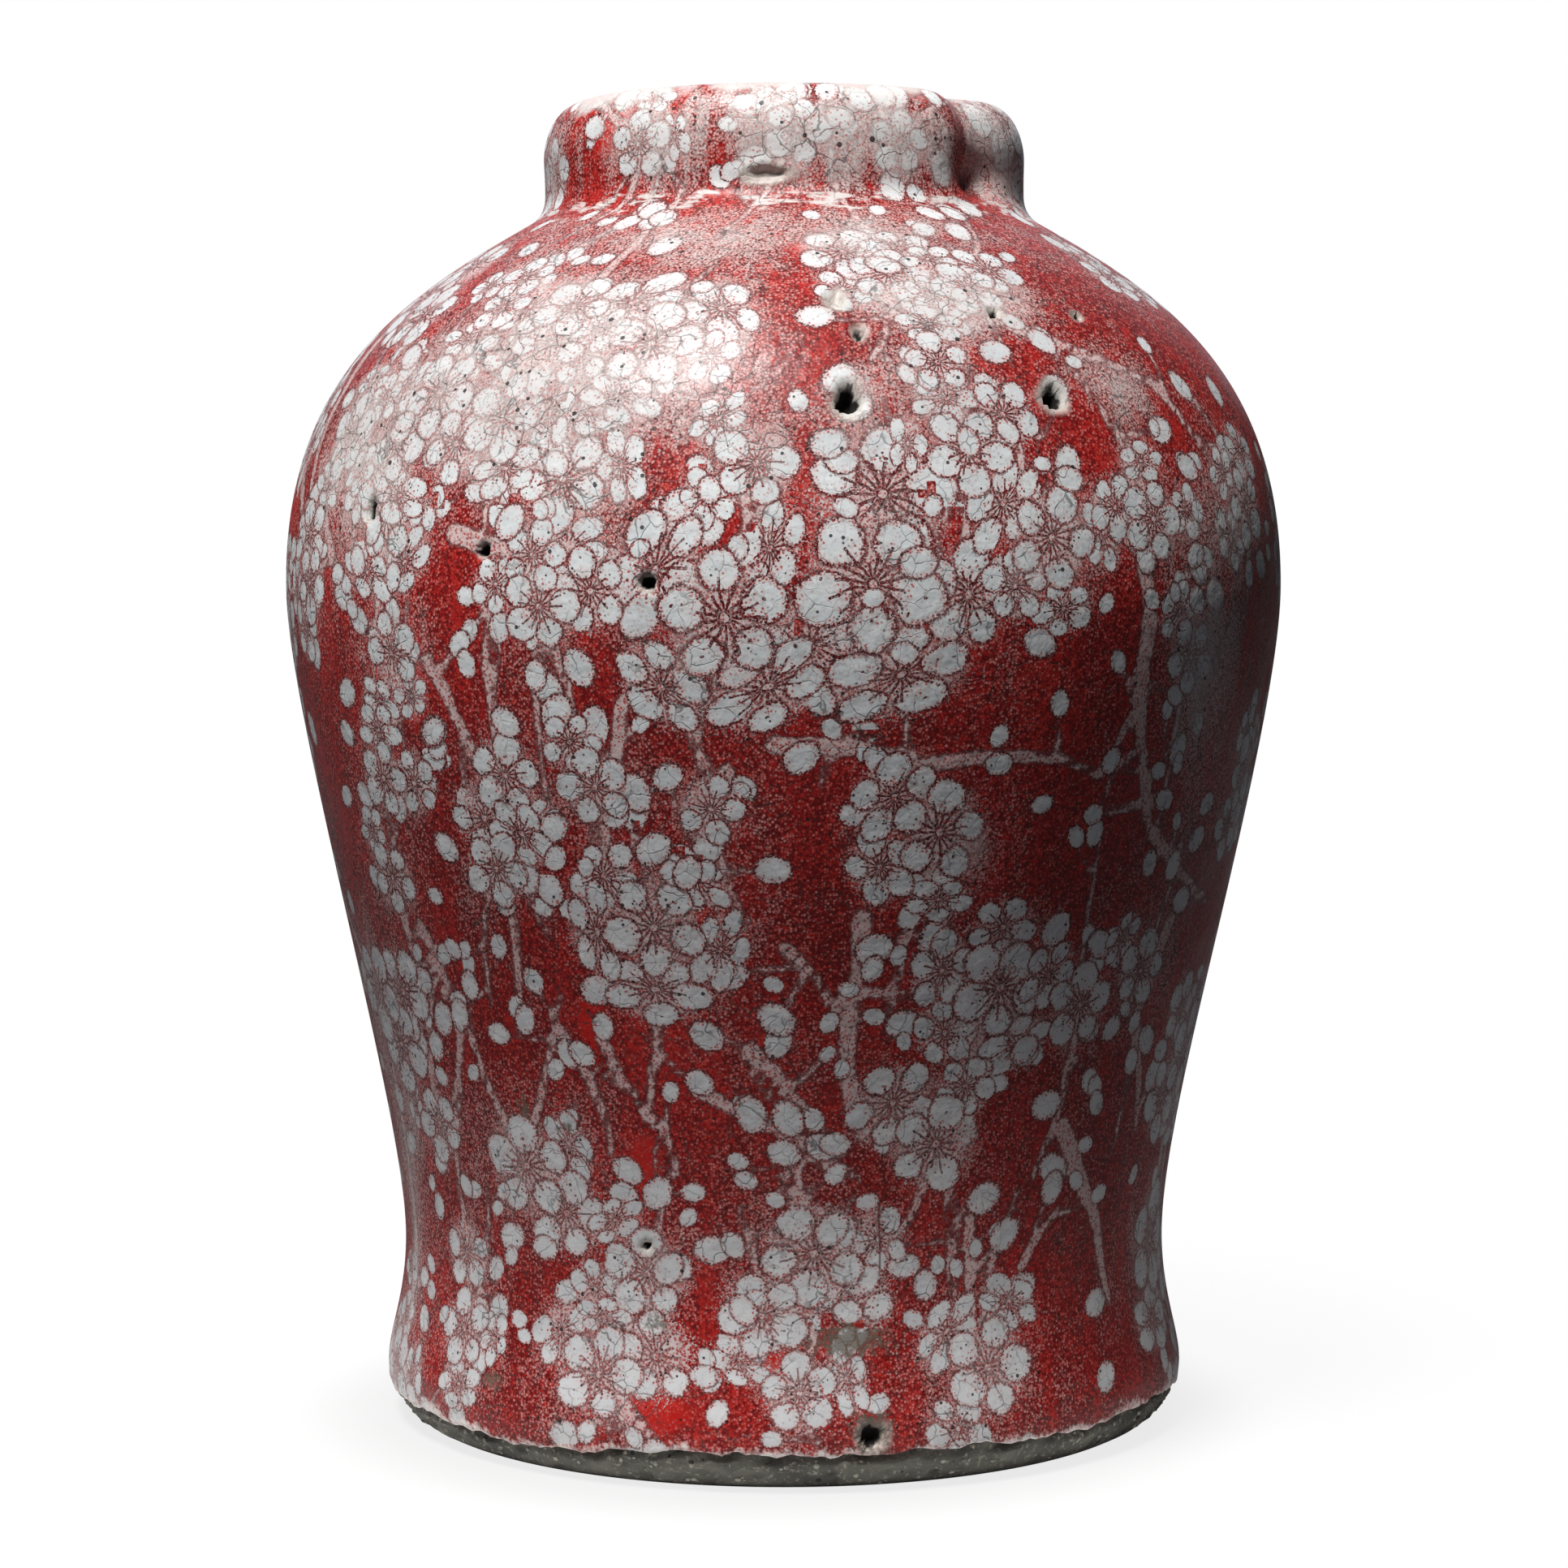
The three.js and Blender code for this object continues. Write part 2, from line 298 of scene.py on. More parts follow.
class VasePrint(bpy.types.PropertyGroup):
    seed: IntProperty(name="Seed", description="Layout of the blossom", default=11, min=0)
    spacing: size_field("Cluster spacing", "Between clusters of blossom", 0.034)
    blossom: size_field("Blossom radius", "Centre to petal tip", 0.0135)
    bud: size_field("Bud radius", "Of a closed bud", 0.0027)
    red_colour: colour_field("Red", "Printed ground", "BC2B27")
    deep_colour: colour_field("Deep red", "Dark grains of the ground", "6C1315")
    fresh_colour: colour_field("Fresh red", "Ground in unworn patches", "C2201A")
    coral_colour: colour_field("Coral", "Bright grains of the ground", "C84B42")
    pink_colour: colour_field("Pink", "Worn grains of the ground", "E0BAB5")
    rose_colour: colour_field("Rose", "Print dots in hearts and branches", "B0504E")
    blush_colour: colour_field("Blush", "Pale print between the dots", "D9C6C3")
    petal_colour: colour_field("Petal", "White slip under clear glaze", "DFE3E4")
    grey_colour: colour_field("Grey petal", "Thin slip on petals", "CDD2D4")
    slip_colour: colour_field("Slip", "Worn white of lip and wear", "DAD7D4")
    ink_colour: colour_field("Ink", "Drawn lines", "581416")
    burnt_colour: colour_field("Burnt slip", "Ring round a crater", "B9B4AC")
    crackle_colour: colour_field("Crackle", "Smoke in the crackle", "3C3836")
    # Painted shade: the grey that the print is multiplied by on the shoulder and below the belly
    smoke_colour: colour_field("Smoke", "Tint of the smoked print", "DBD8D9")
    soot_colour: colour_field("Soot", "Smoke stains on the glaze", "5C554B")
    speck_colour: colour_field("Specks", "Iron specks and open craters", "1E1B1A")


class VaseClay(bpy.types.PropertyGroup):
    body_colour: colour_field("Clay", "Fired clay", "6B6961")
    smoked_colour: colour_field("Smoked clay", "Clay darkened by smoke", "474641")
    pore_colour: colour_field("Pores", "Soot in the pores", "171512")
    grog_colour: colour_field("Grog", "Pale grains in the clay", "A29D90")
    grog_size: size_field("Grog size", "Largest grain's radius", 0.0008)
    grog_density: FloatProperty(
        name="Grog density", description="Grains for each square metre of bare clay", default=52000
    )
    seed: IntProperty(name="Seed", description="Layout of the grains", default=4, min=0)


class VaseStage(bpy.types.PropertyGroup):
    camera_distance: size_field("Camera distance", "From the vase's axis", 0.855)
    camera_height: size_field("Camera height", "Above the floor", 0.1973)
    camera_pitch: FloatProperty(
        name="Camera pitch", description="Downwards", subtype="ANGLE", default=math.radians(3.535)
    )
    lens: FloatProperty(name="Lens", description="Focal length in mm", default=84.6)
    key_azimuth: FloatProperty(
        name="Key azimuth", description="From the front", subtype="ANGLE", default=math.radians(-29)
    )
    key_elevation: FloatProperty(
        name="Key elevation", description="Above the level", subtype="ANGLE", default=math.radians(63)
    )
    key_size: size_field("Key size", "Across the lamp", 0.8)
    key_power: FloatProperty(name="Key power", description="In watts", default=117)
    fill_power: FloatProperty(name="Fill power", description="In watts", default=4.5)
    sky_light: FloatProperty(name="Sky light", description="Strength of the even light", default=0.01)
    sky_colour: colour_field("Sky colour", "Tint of the even light", "C4D2F0")
    floor_colour: colour_field("Floor", "White paper", "F4F4F4")
    bounce_colour: colour_field("Bounce", "What the floor gives back farther out", "34343A")
    near_colour: colour_field("Near bounce", "What the floor gives back round the foot", "DADADA")
    gloss_glow: FloatProperty(
        name="Gloss glow", description="Share of the white surroundings that gloss shows", subtype="FACTOR",
        default=0.06,
    )
    floor_glow: FloatProperty(
        name="Floor glow", description="Share of white at the foot", subtype="FACTOR", default=0.93
    )


# Outline

def bezier(a, b, c, d, count):
    t = np.linspace(0, 1, count)[:, None]
    a, b, c, d = (np.array(p, float) for p in (a, b, c, d))
    return (1 - t) ** 3 * a + 3 * (1 - t) ** 2 * t * b + 3 * (1 - t) * t**2 * c + t**3 * d


def smooth(value, low, high):
    t = np.clip((value - low) / (high - low), 0, 1)
    return t * t * (3 - 2 * t)


class Outline:
    """A line of radii and heights in mm, read by the distance along it."""

    def __init__(self, points):
        points = np.asarray(points, float)
        steps = np.hypot(*np.diff(points, axis=0).T)
        self.points = points[np.r_[True, steps > 1e-6]]
        steps = np.hypot(*np.diff(self.points, axis=0).T)
        self.along = np.r_[0, np.cumsum(steps)]
        tangent = np.gradient(self.points, self.along, axis=0)
        tangent /= np.linalg.norm(tangent, axis=1)[:, None]
        self.normal = np.c_[tangent[:, 1], -tangent[:, 0]]
        self.length = self.along[-1]
        self.top = int(np.argmax(self.points[:, 1]))

    def read(self, along):
        columns = (*self.points.T, *self.normal.T)
        return [np.interp(along, self.along, column) for column in columns]

    def at_height(self, height):
        rising = slice(0, self.top + 1)
        return np.interp(height, self.points[rising, 1], self.along[rising])

    def inset(self, depth):
        """A parallel line under this one, without the points that fold back."""
        points = self.points - self.normal * depth
        rising = points[: self.top + 1]
        ahead = np.r_[True, rising[1:, 1] > np.maximum.accumulate(rising[:-1, 1])]
        return Outline(np.concatenate([rising[ahead], points[self.top + 1 :]]))

    def between(self, low, high, step):
        """Rising points from one height to another, about a step apart."""
        ends = self.at_height(low), self.at_height(high)
        along = np.linspace(*ends, max(2, int(round((ends[1] - ends[0]) / step)) + 1))
        return np.c_[self.read(along)[0], self.read(along)[1]]


class VaseSizes:
    """Sizes in mm worked out from the form, shared by the skin and the clay."""

    def __init__(self, form):
        for name in VaseForm.__annotations__:
            setattr(self, name, getattr(form, name) / MM)
        self.collar_base = self.height - self.collar_height
        self.lip_start = self.height - LIP_OUTER_ROUND
        self.bore = self.collar_radius - self.coat - self.wall
        self.mouth = self.bore - self.coat
        self.crest = self.mouth + LIP_INNER_RUN
        self.outline = self.finished()

    def finished(self):
        foot = np.array([self.foot_radius, 0])
        flare = np.array([self.flare_radius, self.flare_height])
        waist = np.array([self.waist_radius, self.waist_height])
        belly = np.array([self.belly_radius, self.belly_height])
        neck = np.array([self.collar_radius, self.collar_base])
        up = np.array([0, 1.0])
        rise = self.waist_height - self.flare_height
        wall = WALL_FULLNESS * (self.belly_height - self.waist_height) * up
        full = SHOULDER_FULLNESS * (self.collar_base - self.belly_height) * up
        sweep = SHOULDER_SWEEP * (self.belly_radius - self.collar_radius)
        slope = np.array([math.cos(SHOULDER_PITCH), -math.sin(SHOULDER_PITCH)])
        round_up = FOOT_ROUND * self.flare_height * up
        run = FOOT_RUNOFF / 3 * up
        swell = FLARE_FULLNESS * rise * up
        draw_in = WAIST_FULLNESS * rise * up
        shoulder = bezier(belly, belly + full, neck + sweep * slope, neck, 400)
        shoulder = shoulder[np.linalg.norm(shoulder - neck, axis=1) > CREASE]
        t = np.linspace(0, 1, 24)[:, None]
        rim = neck + CREASE * up
        crease = (1 - t) ** 2 * shoulder[-1] + 2 * t * (1 - t) * neck + t**2 * rim
        quarter = np.linspace(0, math.pi / 2, 60)
        lip = np.c_[
            self.crest + (self.collar_radius - self.crest) * np.cos(quarter),
            self.lip_start + LIP_OUTER_ROUND * np.sin(quarter),
        ]
        inside = np.c_[
            self.crest - LIP_INNER_RUN * np.sin(quarter),
            self.height - LIP_INNER_ROUND + LIP_INNER_ROUND * np.cos(quarter),
        ]
        return Outline(
            np.concatenate([
                bezier(foot - 3 * run, foot - 2 * run, foot - run, foot, 12),
                bezier(foot, foot + round_up, flare - round_up, flare, 60),
                bezier(flare, flare + swell, waist - draw_in, waist, 90),
                bezier(waist, waist + wall, belly - wall, belly, 300),
                shoulder,
                crease,
                lip,
                inside,
                [[self.mouth, self.height - MOUTH_GLAZE_DEPTH]],
            ])
        )

    def place(self, angle, along):
        """A point of the finished surface, in mm."""
        radius, height = self.outline.read(along)[:2]
        return np.stack([radius * np.sin(angle), -radius * np.cos(angle), height], -1)


# Hand-made irregularities

def wrap(angle):
    return (angle + math.pi) % (2 * math.pi) - math.pi


def glaze_wave(angle):
    """How far the glaze edge rises over its mean height: slow waves and a ragged fringe."""
    slow = 0.9 * np.sin(2 * angle + 0.6) + 0.6 * np.sin(5 * angle + 2.1) + 0.5 * np.sin(9 * angle + 4)
    fringe = 0.3 * np.sin(37 * angle + 3 * np.sin(4 * angle))
    fringe = fringe + 0.24 * np.sin(71 * angle + 4 * np.sin(7 * angle))
    return slow + fringe + 0.2 * np.sin(113 * angle + 5 * np.sin(11 * angle))


def foot_round(height):
    """How far the foot's edge is worn back at the table and swells above it."""
    worn = FOOT_WORN * np.exp(-np.maximum(height, 0) / 1.1)
    return np.exp(-(((height - 6) / 3) ** 2)) - worn


def press(sizes, angle, height):
    """Share of the finger press in the collar."""
    turn = wrap(angle - PRESS_ANGLE)
    rise = smooth(height, sizes.collar_base - 1, sizes.collar_base + 9)
    over = (height - sizes.collar_base - 6) / 5
    pocket = 0.85 * np.exp(-((turn / PRESS_SPREAD[0]) ** 2) - over**2)
    width = np.where(turn < 0, *PRESS_SPREAD)
    return rise * np.exp(-((turn / width) ** 2)) + pocket


def from_place(sizes, angle, along, turn, height):
    """Distances in mm round and up the surface from a place on it, and the radius there."""
    centre = sizes.outline.at_height(height)
    radius = sizes.outline.read(centre)[0]
    return radius * wrap(angle - math.radians(turn)), along - centre, radius


def crater_fields(sizes, angle, along):
    """Depth in mm, and how much of a place is hole or stained halo."""
    depth = np.zeros_like(along)
    hole = np.zeros_like(along)
    halo = np.zeros_like(along)
    for i, (turn, height, width, tall, deep, soot) in enumerate(CRATERS):
        x, y, _ = from_place(sizes, angle, along, turn, height)
        x, y = x / (width / 2), y / (tall / 2)
        ragged = np.arctan2(y, x)
        reach = np.hypot(x, y) * (1 + 0.09 * np.sin(3 * ragged + i) + 0.05 * np.sin(5 * ragged + 2 * i))
        rim = 0.28 * np.exp(-(((reach - 1.35) / 0.35) ** 2))
        depth += deep * (1 - smooth(reach, 0.45, 1.1)) - rim
        hole = np.maximum(hole, soot * (1 - smooth(reach, 0.55, 1.1)))
        halo = np.maximum(halo, np.exp(-((reach / 1.9) ** 2)))
    return depth, hole, halo


def dimples(sizes, angle, along):
    """Wide hollows under the craters, so that what lies behind the skin stays behind it."""
    depth = np.zeros_like(along)
    for turn, height, width, tall, deep, _ in CRATERS:
        x, y, _ = from_place(sizes, angle, along, turn, height)
        away = np.hypot(x, y)
        margin = 8 if height > 25 else 3
        depth = np.maximum(depth, deep * np.exp(-((away / (max(width, tall) / 2 + margin)) ** 4)))
    return depth


def patches(sizes, angle, along, places):
    """Soft patches on the surface, 1 at the middle of each."""
    share = np.zeros_like(along)
    radius = sizes.outline.read(along)[0]
    for turn, height, wide, tall in places:
        x = radius * wrap(angle - math.radians(turn)) / wide
        y = (along - sizes.outline.at_height(height)) / tall
        share = np.maximum(share, np.exp(-(x * x + y * y)))
    return share


# Blossom print

# Motifs from this tone up are buds
BUD = 100
CLUSTER_TRIES = 5000


class PrintLayout:
    """Clusters of blossom, buds and branches laid over the surface from one seed."""

    def __init__(self, sizes, look):
        self.sizes = sizes
        self.outline = sizes.outline
        self.rng = np.random.default_rng(look.seed)
        self.low = self.outline.at_height(sizes.glaze_line)
        self.high = self.outline.at_height(sizes.height - 2)
        self.blossom = look.blossom / MM
        self.bud = look.bud / MM
        self.motifs = []
        self.strokes = []
        self.spread = []
        front = [(math.radians(turn), self.outline.at_height(level)) for turn, level, *_ in FRONT_CLUSTERS]
        self.clusters = self.scatter(look.spacing / MM, front)
        for place, (_, _, radius, count) in zip(front, FRONT_CLUSTERS):
            self.flower(place, radius, count)
        for place in self.clusters:
            self.flower(place, self.blossom * self.rng.uniform(0.7, 1.05), self.rng.integers(3, 8))
        self.tips = []
        for place in front:
            for _ in range(2):
                lean = self.rng.uniform(-16, 16)
                rise = self.rng.choice([-1, 1]) * self.rng.uniform(22, 46)
                self.bough(place, self.shift(place, lean, rise), self.rng.uniform(0.9, 1.6))
        for width, *stops in FRONT_BRANCHES:
            line = [(math.radians(turn), self.outline.at_height(level)) for turn, level in stops]
            for start, end in zip(line, line[1:]):
                self.bough(start, end, width)
                width *= 0.85
        self.link()
        self.motifs = self.tips + self.motifs

    def shift(self, place, x, y):
        along = np.clip(place[1] + y, self.low, self.high)
        radius = self.outline.read(place[1] + y / 2)[0]
        return place[0] + x / radius, along

    def scatter(self, spacing, front):
        """Places for clusters on the sides and back, clear of each other and of those in front."""
        kept = []
        spots = np.array([self.sizes.place(*place) for place in front])
        for _ in range(CLUSTER_TRIES):
            angle = self.rng.uniform(FRONT, 2 * math.pi - FRONT)
            along = self.rng.uniform(self.low, self.high)
            keep = self.rng.uniform(0, self.sizes.belly_radius) < self.outline.read(along)[0]
            spot = self.sizes.place(angle, along)
            if keep and np.min(np.linalg.norm(spots - spot, axis=1)) > spacing:
                kept.append((wrap(angle), along))
                spots = np.vstack([spots, spot])
        return kept

    def flower(self, centre, size, count):
        """Overlapping blossoms round a middle one, the outer ones seen from the side, and loose buds."""
        rng = self.rng
        start = rng.uniform(0, 2 * math.pi)
        reach = size * (1.9 if count < 7 else 2.7)
        for _ in range(rng.integers(3, 8)):
            way = rng.uniform(0, 2 * math.pi)
            far = reach * rng.uniform(0.75, 1.5)
            self.add_bud(self.motifs, self.shift(centre, far * math.cos(way), far * math.sin(way)), way)
        for i in reversed(range(count)):
            ring = 0 if i == 0 else 1 if i < 6 else 2
            way = start + i * (0, 2 * math.pi / 5, 2 * math.pi / 9)[ring] + rng.uniform(-0.25, 0.25)
            far = size * (0, 1.2, 2.05)[ring] * rng.uniform(0.9, 1.1)
            place = self.shift(centre, far * math.cos(way), far * math.sin(way))
            radius = size * (rng.uniform(0.66, 1.08) if ring else 1)
            squash = rng.uniform(0.55, 1.0) if ring else 1
            phase = rng.uniform(0, 2 * math.pi)
            self.motifs.append((*place, radius, way, squash, phase, rng.integers(40)))
        self.spread.append((*centre, reach))

    def add_bud(self, motifs, place, way):
        radius = self.bud * self.rng.uniform(0.62, 1.3)
        motifs.append((*place, radius, way, 1, 0, BUD + self.rng.integers(40)))

    def stroke(self, start, end, width, bend):
        """A tapering branch with slight elbows, as a chain of short straight pieces."""
        way = np.array([wrap(end[0] - start[0]), end[1] - start[1]])
        radius = self.outline.read((start[1] + end[1]) / 2)[0]
        side = np.array([-way[1] / radius, way[0] * radius])
        steps = np.linspace(0, 1, 9)
        sway = bend * np.sin(math.pi * steps) + self.rng.uniform(-0.014, 0.014, 9)
        line = np.array(start) + steps[:, None] * way + sway[:, None] * side
        widths = width * (1 - 0.5 * steps)
        self.strokes += [(line[i], line[i + 1], widths[i], widths[i + 1]) for i in range(8)]
        return line

    def bough(self, start, end, width):
        """A branch with side twigs that end in a bud."""
        rng = self.rng
        line = self.stroke(start, end, width, rng.uniform(-0.08, 0.08))
        for _ in range(2):
            root = line[rng.integers(1, 8)]
            way = rng.uniform(0, 2 * math.pi)
            far = rng.uniform(7, 17)
            tip = self.shift(root, far * math.cos(way), far * math.sin(way))
            self.stroke(root, tip, width * 0.6, rng.uniform(-0.1, 0.1))
            self.add_bud(self.tips, tip, way)

    def link(self):
        """Branches from cluster to cluster on the sides and back."""
        spots = np.array([self.sizes.place(*place) for place in self.clusters])
        for i, centre in enumerate(self.clusters):
            near = np.argsort(np.linalg.norm(spots - spots[i], axis=1))[1:5]
            for goal in self.rng.choice(near, 2, replace=False):
                self.bough(centre, self.clusters[goal], self.rng.uniform(1.4, 2.4))


# Glazed skin

SKIN_COLUMNS = 360
BACK_COLUMNS = 120
LAYERS = 5
SKIN_DEPTH = 1.5
ROW_STEP = 1.75
COLLAR_STEP = 1.1
OUTSIDE = 9.0


def skin_grid(sizes):
    """Angle and distance along the outline of each point of the skin's outer face."""
    outline = sizes.outline
    edge = outline.at_height(sizes.glaze_line)
    crease = outline.at_height(sizes.collar_base) - 4
    rows = np.concatenate([
        edge + np.array([0, 0.3, 0.7, 1.2, 1.9, 2.8, 3.9]),
        np.arange(edge + 5.2, crease, ROW_STEP),
        np.arange(crease, outline.length, COLLAR_STEP),
        [outline.length],
    ])
    angles = np.linspace(-math.pi, math.pi, SKIN_COLUMNS, endpoint=False)
    along, angle = np.meshgrid(rows, angles, indexing="ij")
    lift = outline.at_height(sizes.glaze_line + glaze_wave(angle)) - edge
    along = along + lift * (1 - smooth(along, edge, edge + 30))
    edge_distance = along - (edge + lift)
    for turn, height, *_ in CRATERS:
        x, y, radius = from_place(sizes, angle, along, turn, height)
        pull = 0.6 * np.exp(-((np.hypot(x, y) / 9) ** 2)) * smooth(edge_distance, 0, 6)
        angle = angle - pull * x / radius
        along = along - pull * y
    return angle, along, edge_distance


def skin_points(sizes, angle, along, depth):
    """Points at a depth under the finished surface, with the finger press worked in."""
    radius, height, out, up = sizes.outline.read(along)
    share = press(sizes, angle, height)
    sway = 0.3 * np.sin(2 * angle + along / 45) + 0.18 * np.sin(5 * angle - along / 23)
    depth = depth - sway * smooth(along, 20, 60) * (1 - smooth(height, 280, 290))
    radius = radius - out * depth - PRESS_DEPTH * share + foot_round(height)
    height = height - up * depth - LIP_DIP * share
    return np.stack([radius * np.sin(angle), -radius * np.cos(angle), height], -1)


def ring_faces(rows, columns, offset=0):
    """Quads of a grid that closes round the axis, row by row."""
    grid = offset + np.arange(rows * columns).reshape(rows, columns)
    ahead = np.roll(grid, -1, axis=1)
    return np.stack([grid[:-1], ahead[:-1], ahead[1:], grid[1:]], -1).reshape(-1, 4)


def bridge_faces(fine, coarse, flip):
    """Faces from a fine ring of points to a coarse one with fewer columns."""
    step = len(fine) // len(coarse)
    faces = []
    for i in range(len(coarse)):
        here, ahead = coarse[i], coarse[(i + 1) % len(coarse)]
        arc = [fine[(i * step + k) % len(fine)] for k in range(step + 1)]
        half = step // 2
        faces += [(arc[k], arc[k + 1], here) for k in range(half)]
        faces += [(arc[half], ahead, here)]
        faces += [(arc[k], arc[k + 1], ahead) for k in range(half, step)]
    return [face[::-1] for face in faces] if flip else faces


def motif_layers(layout, angle, along, quads):
    """Which motifs touch each face, lowest first, and each face corner's place on them."""
    sizes = layout.sizes
    face_angle = angle.ravel()[quads]
    face_along = along.ravel()[quads]
    middle_along = face_along.mean(1)
    middle_angle = face_angle[:, 0] + wrap(face_angle - face_angle[:, :1]).mean(1)
    middle_radius = sizes.outline.read(middle_along)[0]
    touching = np.full((LAYERS, len(quads)), -1)
    order = np.argsort(middle_along)
    ranked = middle_along[order]
    for number, (turn, place, reach, *_) in enumerate(layout.motifs):
        span = 1.3 * reach + 2.5
        rows = order[np.searchsorted(ranked, place - span) : np.searchsorted(ranked, place + span)]
        x = middle_radius[rows] * wrap(middle_angle[rows] - turn)
        near = rows[np.hypot(x, middle_along[rows] - place) < span]
        touching[:-1, near] = touching[1:, near]
        touching[-1, near] = number
    table = np.array(layout.motifs)
    corner_radius = sizes.outline.read(face_along)[0]
    layers = []
    for touched in touching:
        motif = table[np.maximum(touched, 0)]
        turn, place, reach, way, squash, phase, tone = motif.T[:, :, None]
        x = corner_radius * wrap(face_angle - turn) / reach
        y = (face_along - place) / reach
        x, y = (x * np.cos(way) + y * np.sin(way)) / squash, y * np.cos(way) - x * np.sin(way)
        x, y = x * np.cos(phase) + y * np.sin(phase), y * np.cos(phase) - x * np.sin(phase)
        local = np.stack([x, y, np.repeat(tone, 4, axis=1)], -1)
        local[touched < 0] = (OUTSIDE, OUTSIDE, 0)
        layers.append(local.reshape(-1, 3))
    return layers


def branch_distance(layout, angle, along):
    """Signed distance in mm to the nearest branch, below zero inside it."""
    radius = layout.outline.read(along)[0]
    nearest = np.full(along.shape, OUTSIDE)
    for start, end, width, width_end in layout.strokes:
        middle = (start + end) / 2
        length = np.hypot(layout.outline.read(middle[1])[0] * (end[0] - start[0]), end[1] - start[1])
        rows = np.flatnonzero(np.abs(along[:, 0] - middle[1]) < length / 2 + OUTSIDE)
        if not len(rows):
            continue
        block = slice(rows[0], rows[-1] + 1)
        x = radius[block] * wrap(angle[block] - start[0])
        y = along[block] - start[1]
        way_x = radius[block] * (end[0] - start[0])
        way_y = end[1] - start[1]
        share = np.clip((x * way_x + y * way_y) / (way_x**2 + way_y**2 + 1e-9), 0, 1)
        away = np.hypot(x - share * way_x, y - share * way_y) - (width + share * (width_end - width))
        nearest[block] = np.minimum(nearest[block], away)
    return nearest


def cluster_haze(layout, angle, along):
    """How near a place is to a cluster of blossom, 1 at its middle."""
    share = np.zeros_like(along)
    radius = layout.outline.read(along)[0]
    for turn, place, reach in layout.spread:
        away = np.hypot(radius * wrap(angle - turn), along - place) / reach
        share = np.maximum(share, 1 - smooth(away, 0.3, 1.35))
    return share


def set_attribute(mesh, name, kind, domain, values):
    layer = mesh.attributes.new(name, kind, domain)
    field = "vector" if kind == "FLOAT_VECTOR" else "value"
    layer.data.foreach_set(field, np.ascontiguousarray(values, dtype=np.float32).ravel())


def make_skin(sizes, look):
    angle, along, edge_distance = skin_grid(sizes)
    rows, columns = angle.shape
    depth, hole, halo = crater_fields(sizes, angle, along)
    uneven = 0.1 + 0.09 * np.sin(23 * angle + 3 * np.sin(5 * angle))
    bead = uneven * np.exp(-(((edge_distance - 1.4) / 1.1) ** 2))
    fall = 1.3 * np.exp(-((edge_distance / 0.45) ** 2))
    front = skin_points(sizes, angle, along, depth - bead + fall)
    quads = ring_faces(rows, columns)

    hem_row, last_row = along[0].mean(), along[-1].mean()
    neck_row = sizes.outline.at_height(sizes.collar_base) - 12
    back_along = np.concatenate([
        np.linspace(hem_row, hem_row + 28, 9),
        np.arange(hem_row + 34, neck_row, 6.5),
        np.linspace(neck_row, last_row, 26),
    ])
    back_angles = angle[0, :: columns // BACK_COLUMNS]
    back_along, back_angle = np.meshgrid(back_along, back_angles, indexing="ij")
    hem = along[0, :: columns // BACK_COLUMNS] - along[0].mean()
    back_along = back_along + hem * (1 - smooth(back_along, back_along[0, 0], back_along[0, 0] + 30))
    hollow = dimples(sizes, back_angle, back_along)
    back = skin_points(sizes, back_angle, back_along, SKIN_DEPTH + hollow)
    first = rows * columns
    back_grid = first + np.arange(back_angle.size).reshape(back_angle.shape)
    back_quads = ring_faces(*back_angle.shape, first)[:, ::-1]
    foot_hem = bridge_faces(np.arange(columns), back_grid[0], True)
    mouth_hem = bridge_faces(np.arange(columns) + (rows - 1) * columns, back_grid[-1], False)

    points = np.concatenate([front.reshape(-1, 3), back.reshape(-1, 3)]) * MM
    faces = quads.tolist() + back_quads.tolist() + foot_hem + mouth_hem
    mesh = bpy.data.meshes.new("glazed_skin")
    mesh.from_pydata(points.tolist(), [], faces)
    layout = PrintLayout(sizes, look)
    over = along - sizes.outline.at_height(sizes.collar_base)
    corners = len(mesh.loops)
    for i, layer in enumerate(motif_layers(layout, angle, along, quads)):
        values = np.full((corners, 3), (OUTSIDE, OUTSIDE, 0.0))
        values[: len(layer)] = layer
        set_attribute(mesh, f"motif_{i}", "FLOAT_VECTOR", "CORNER", values)
    fields = {
        "branch": branch_distance(layout, angle, along),
        "hole": hole,
        "halo": halo,
        "glaze_edge": edge_distance,
        "fresh": patches(sizes, angle, along, FRESH_PATCHES),
        # Worn patches, on the lit shoulder and collar partly a painted highlight
        "worn": patches(sizes, angle, along, WORN_AND_HIGHLIGHT_PATCHES),
        "soot": patches(sizes, angle, along, SOOT_PATCHES),
        "haze": cluster_haze(layout, angle, along),
        "crease": np.exp(-((over / np.where(over > 0, 5, 15)) ** 2)),
    }
    for name, values in fields.items():
        padded = np.zeros(len(points))
        padded[:first] = values.ravel()
        set_attribute(mesh, name, "FLOAT", "POINT", padded)
    mesh.shade_smooth()
    return mesh


# Turned clay by Geometry Nodes

# The smallest and largest grains of grog, as shares of the largest radius along each axis
GRAIN_LEAST = (0.35, 0.35, 0.2)
GRAIN_MOST = (1.0, 1.0, 0.55)


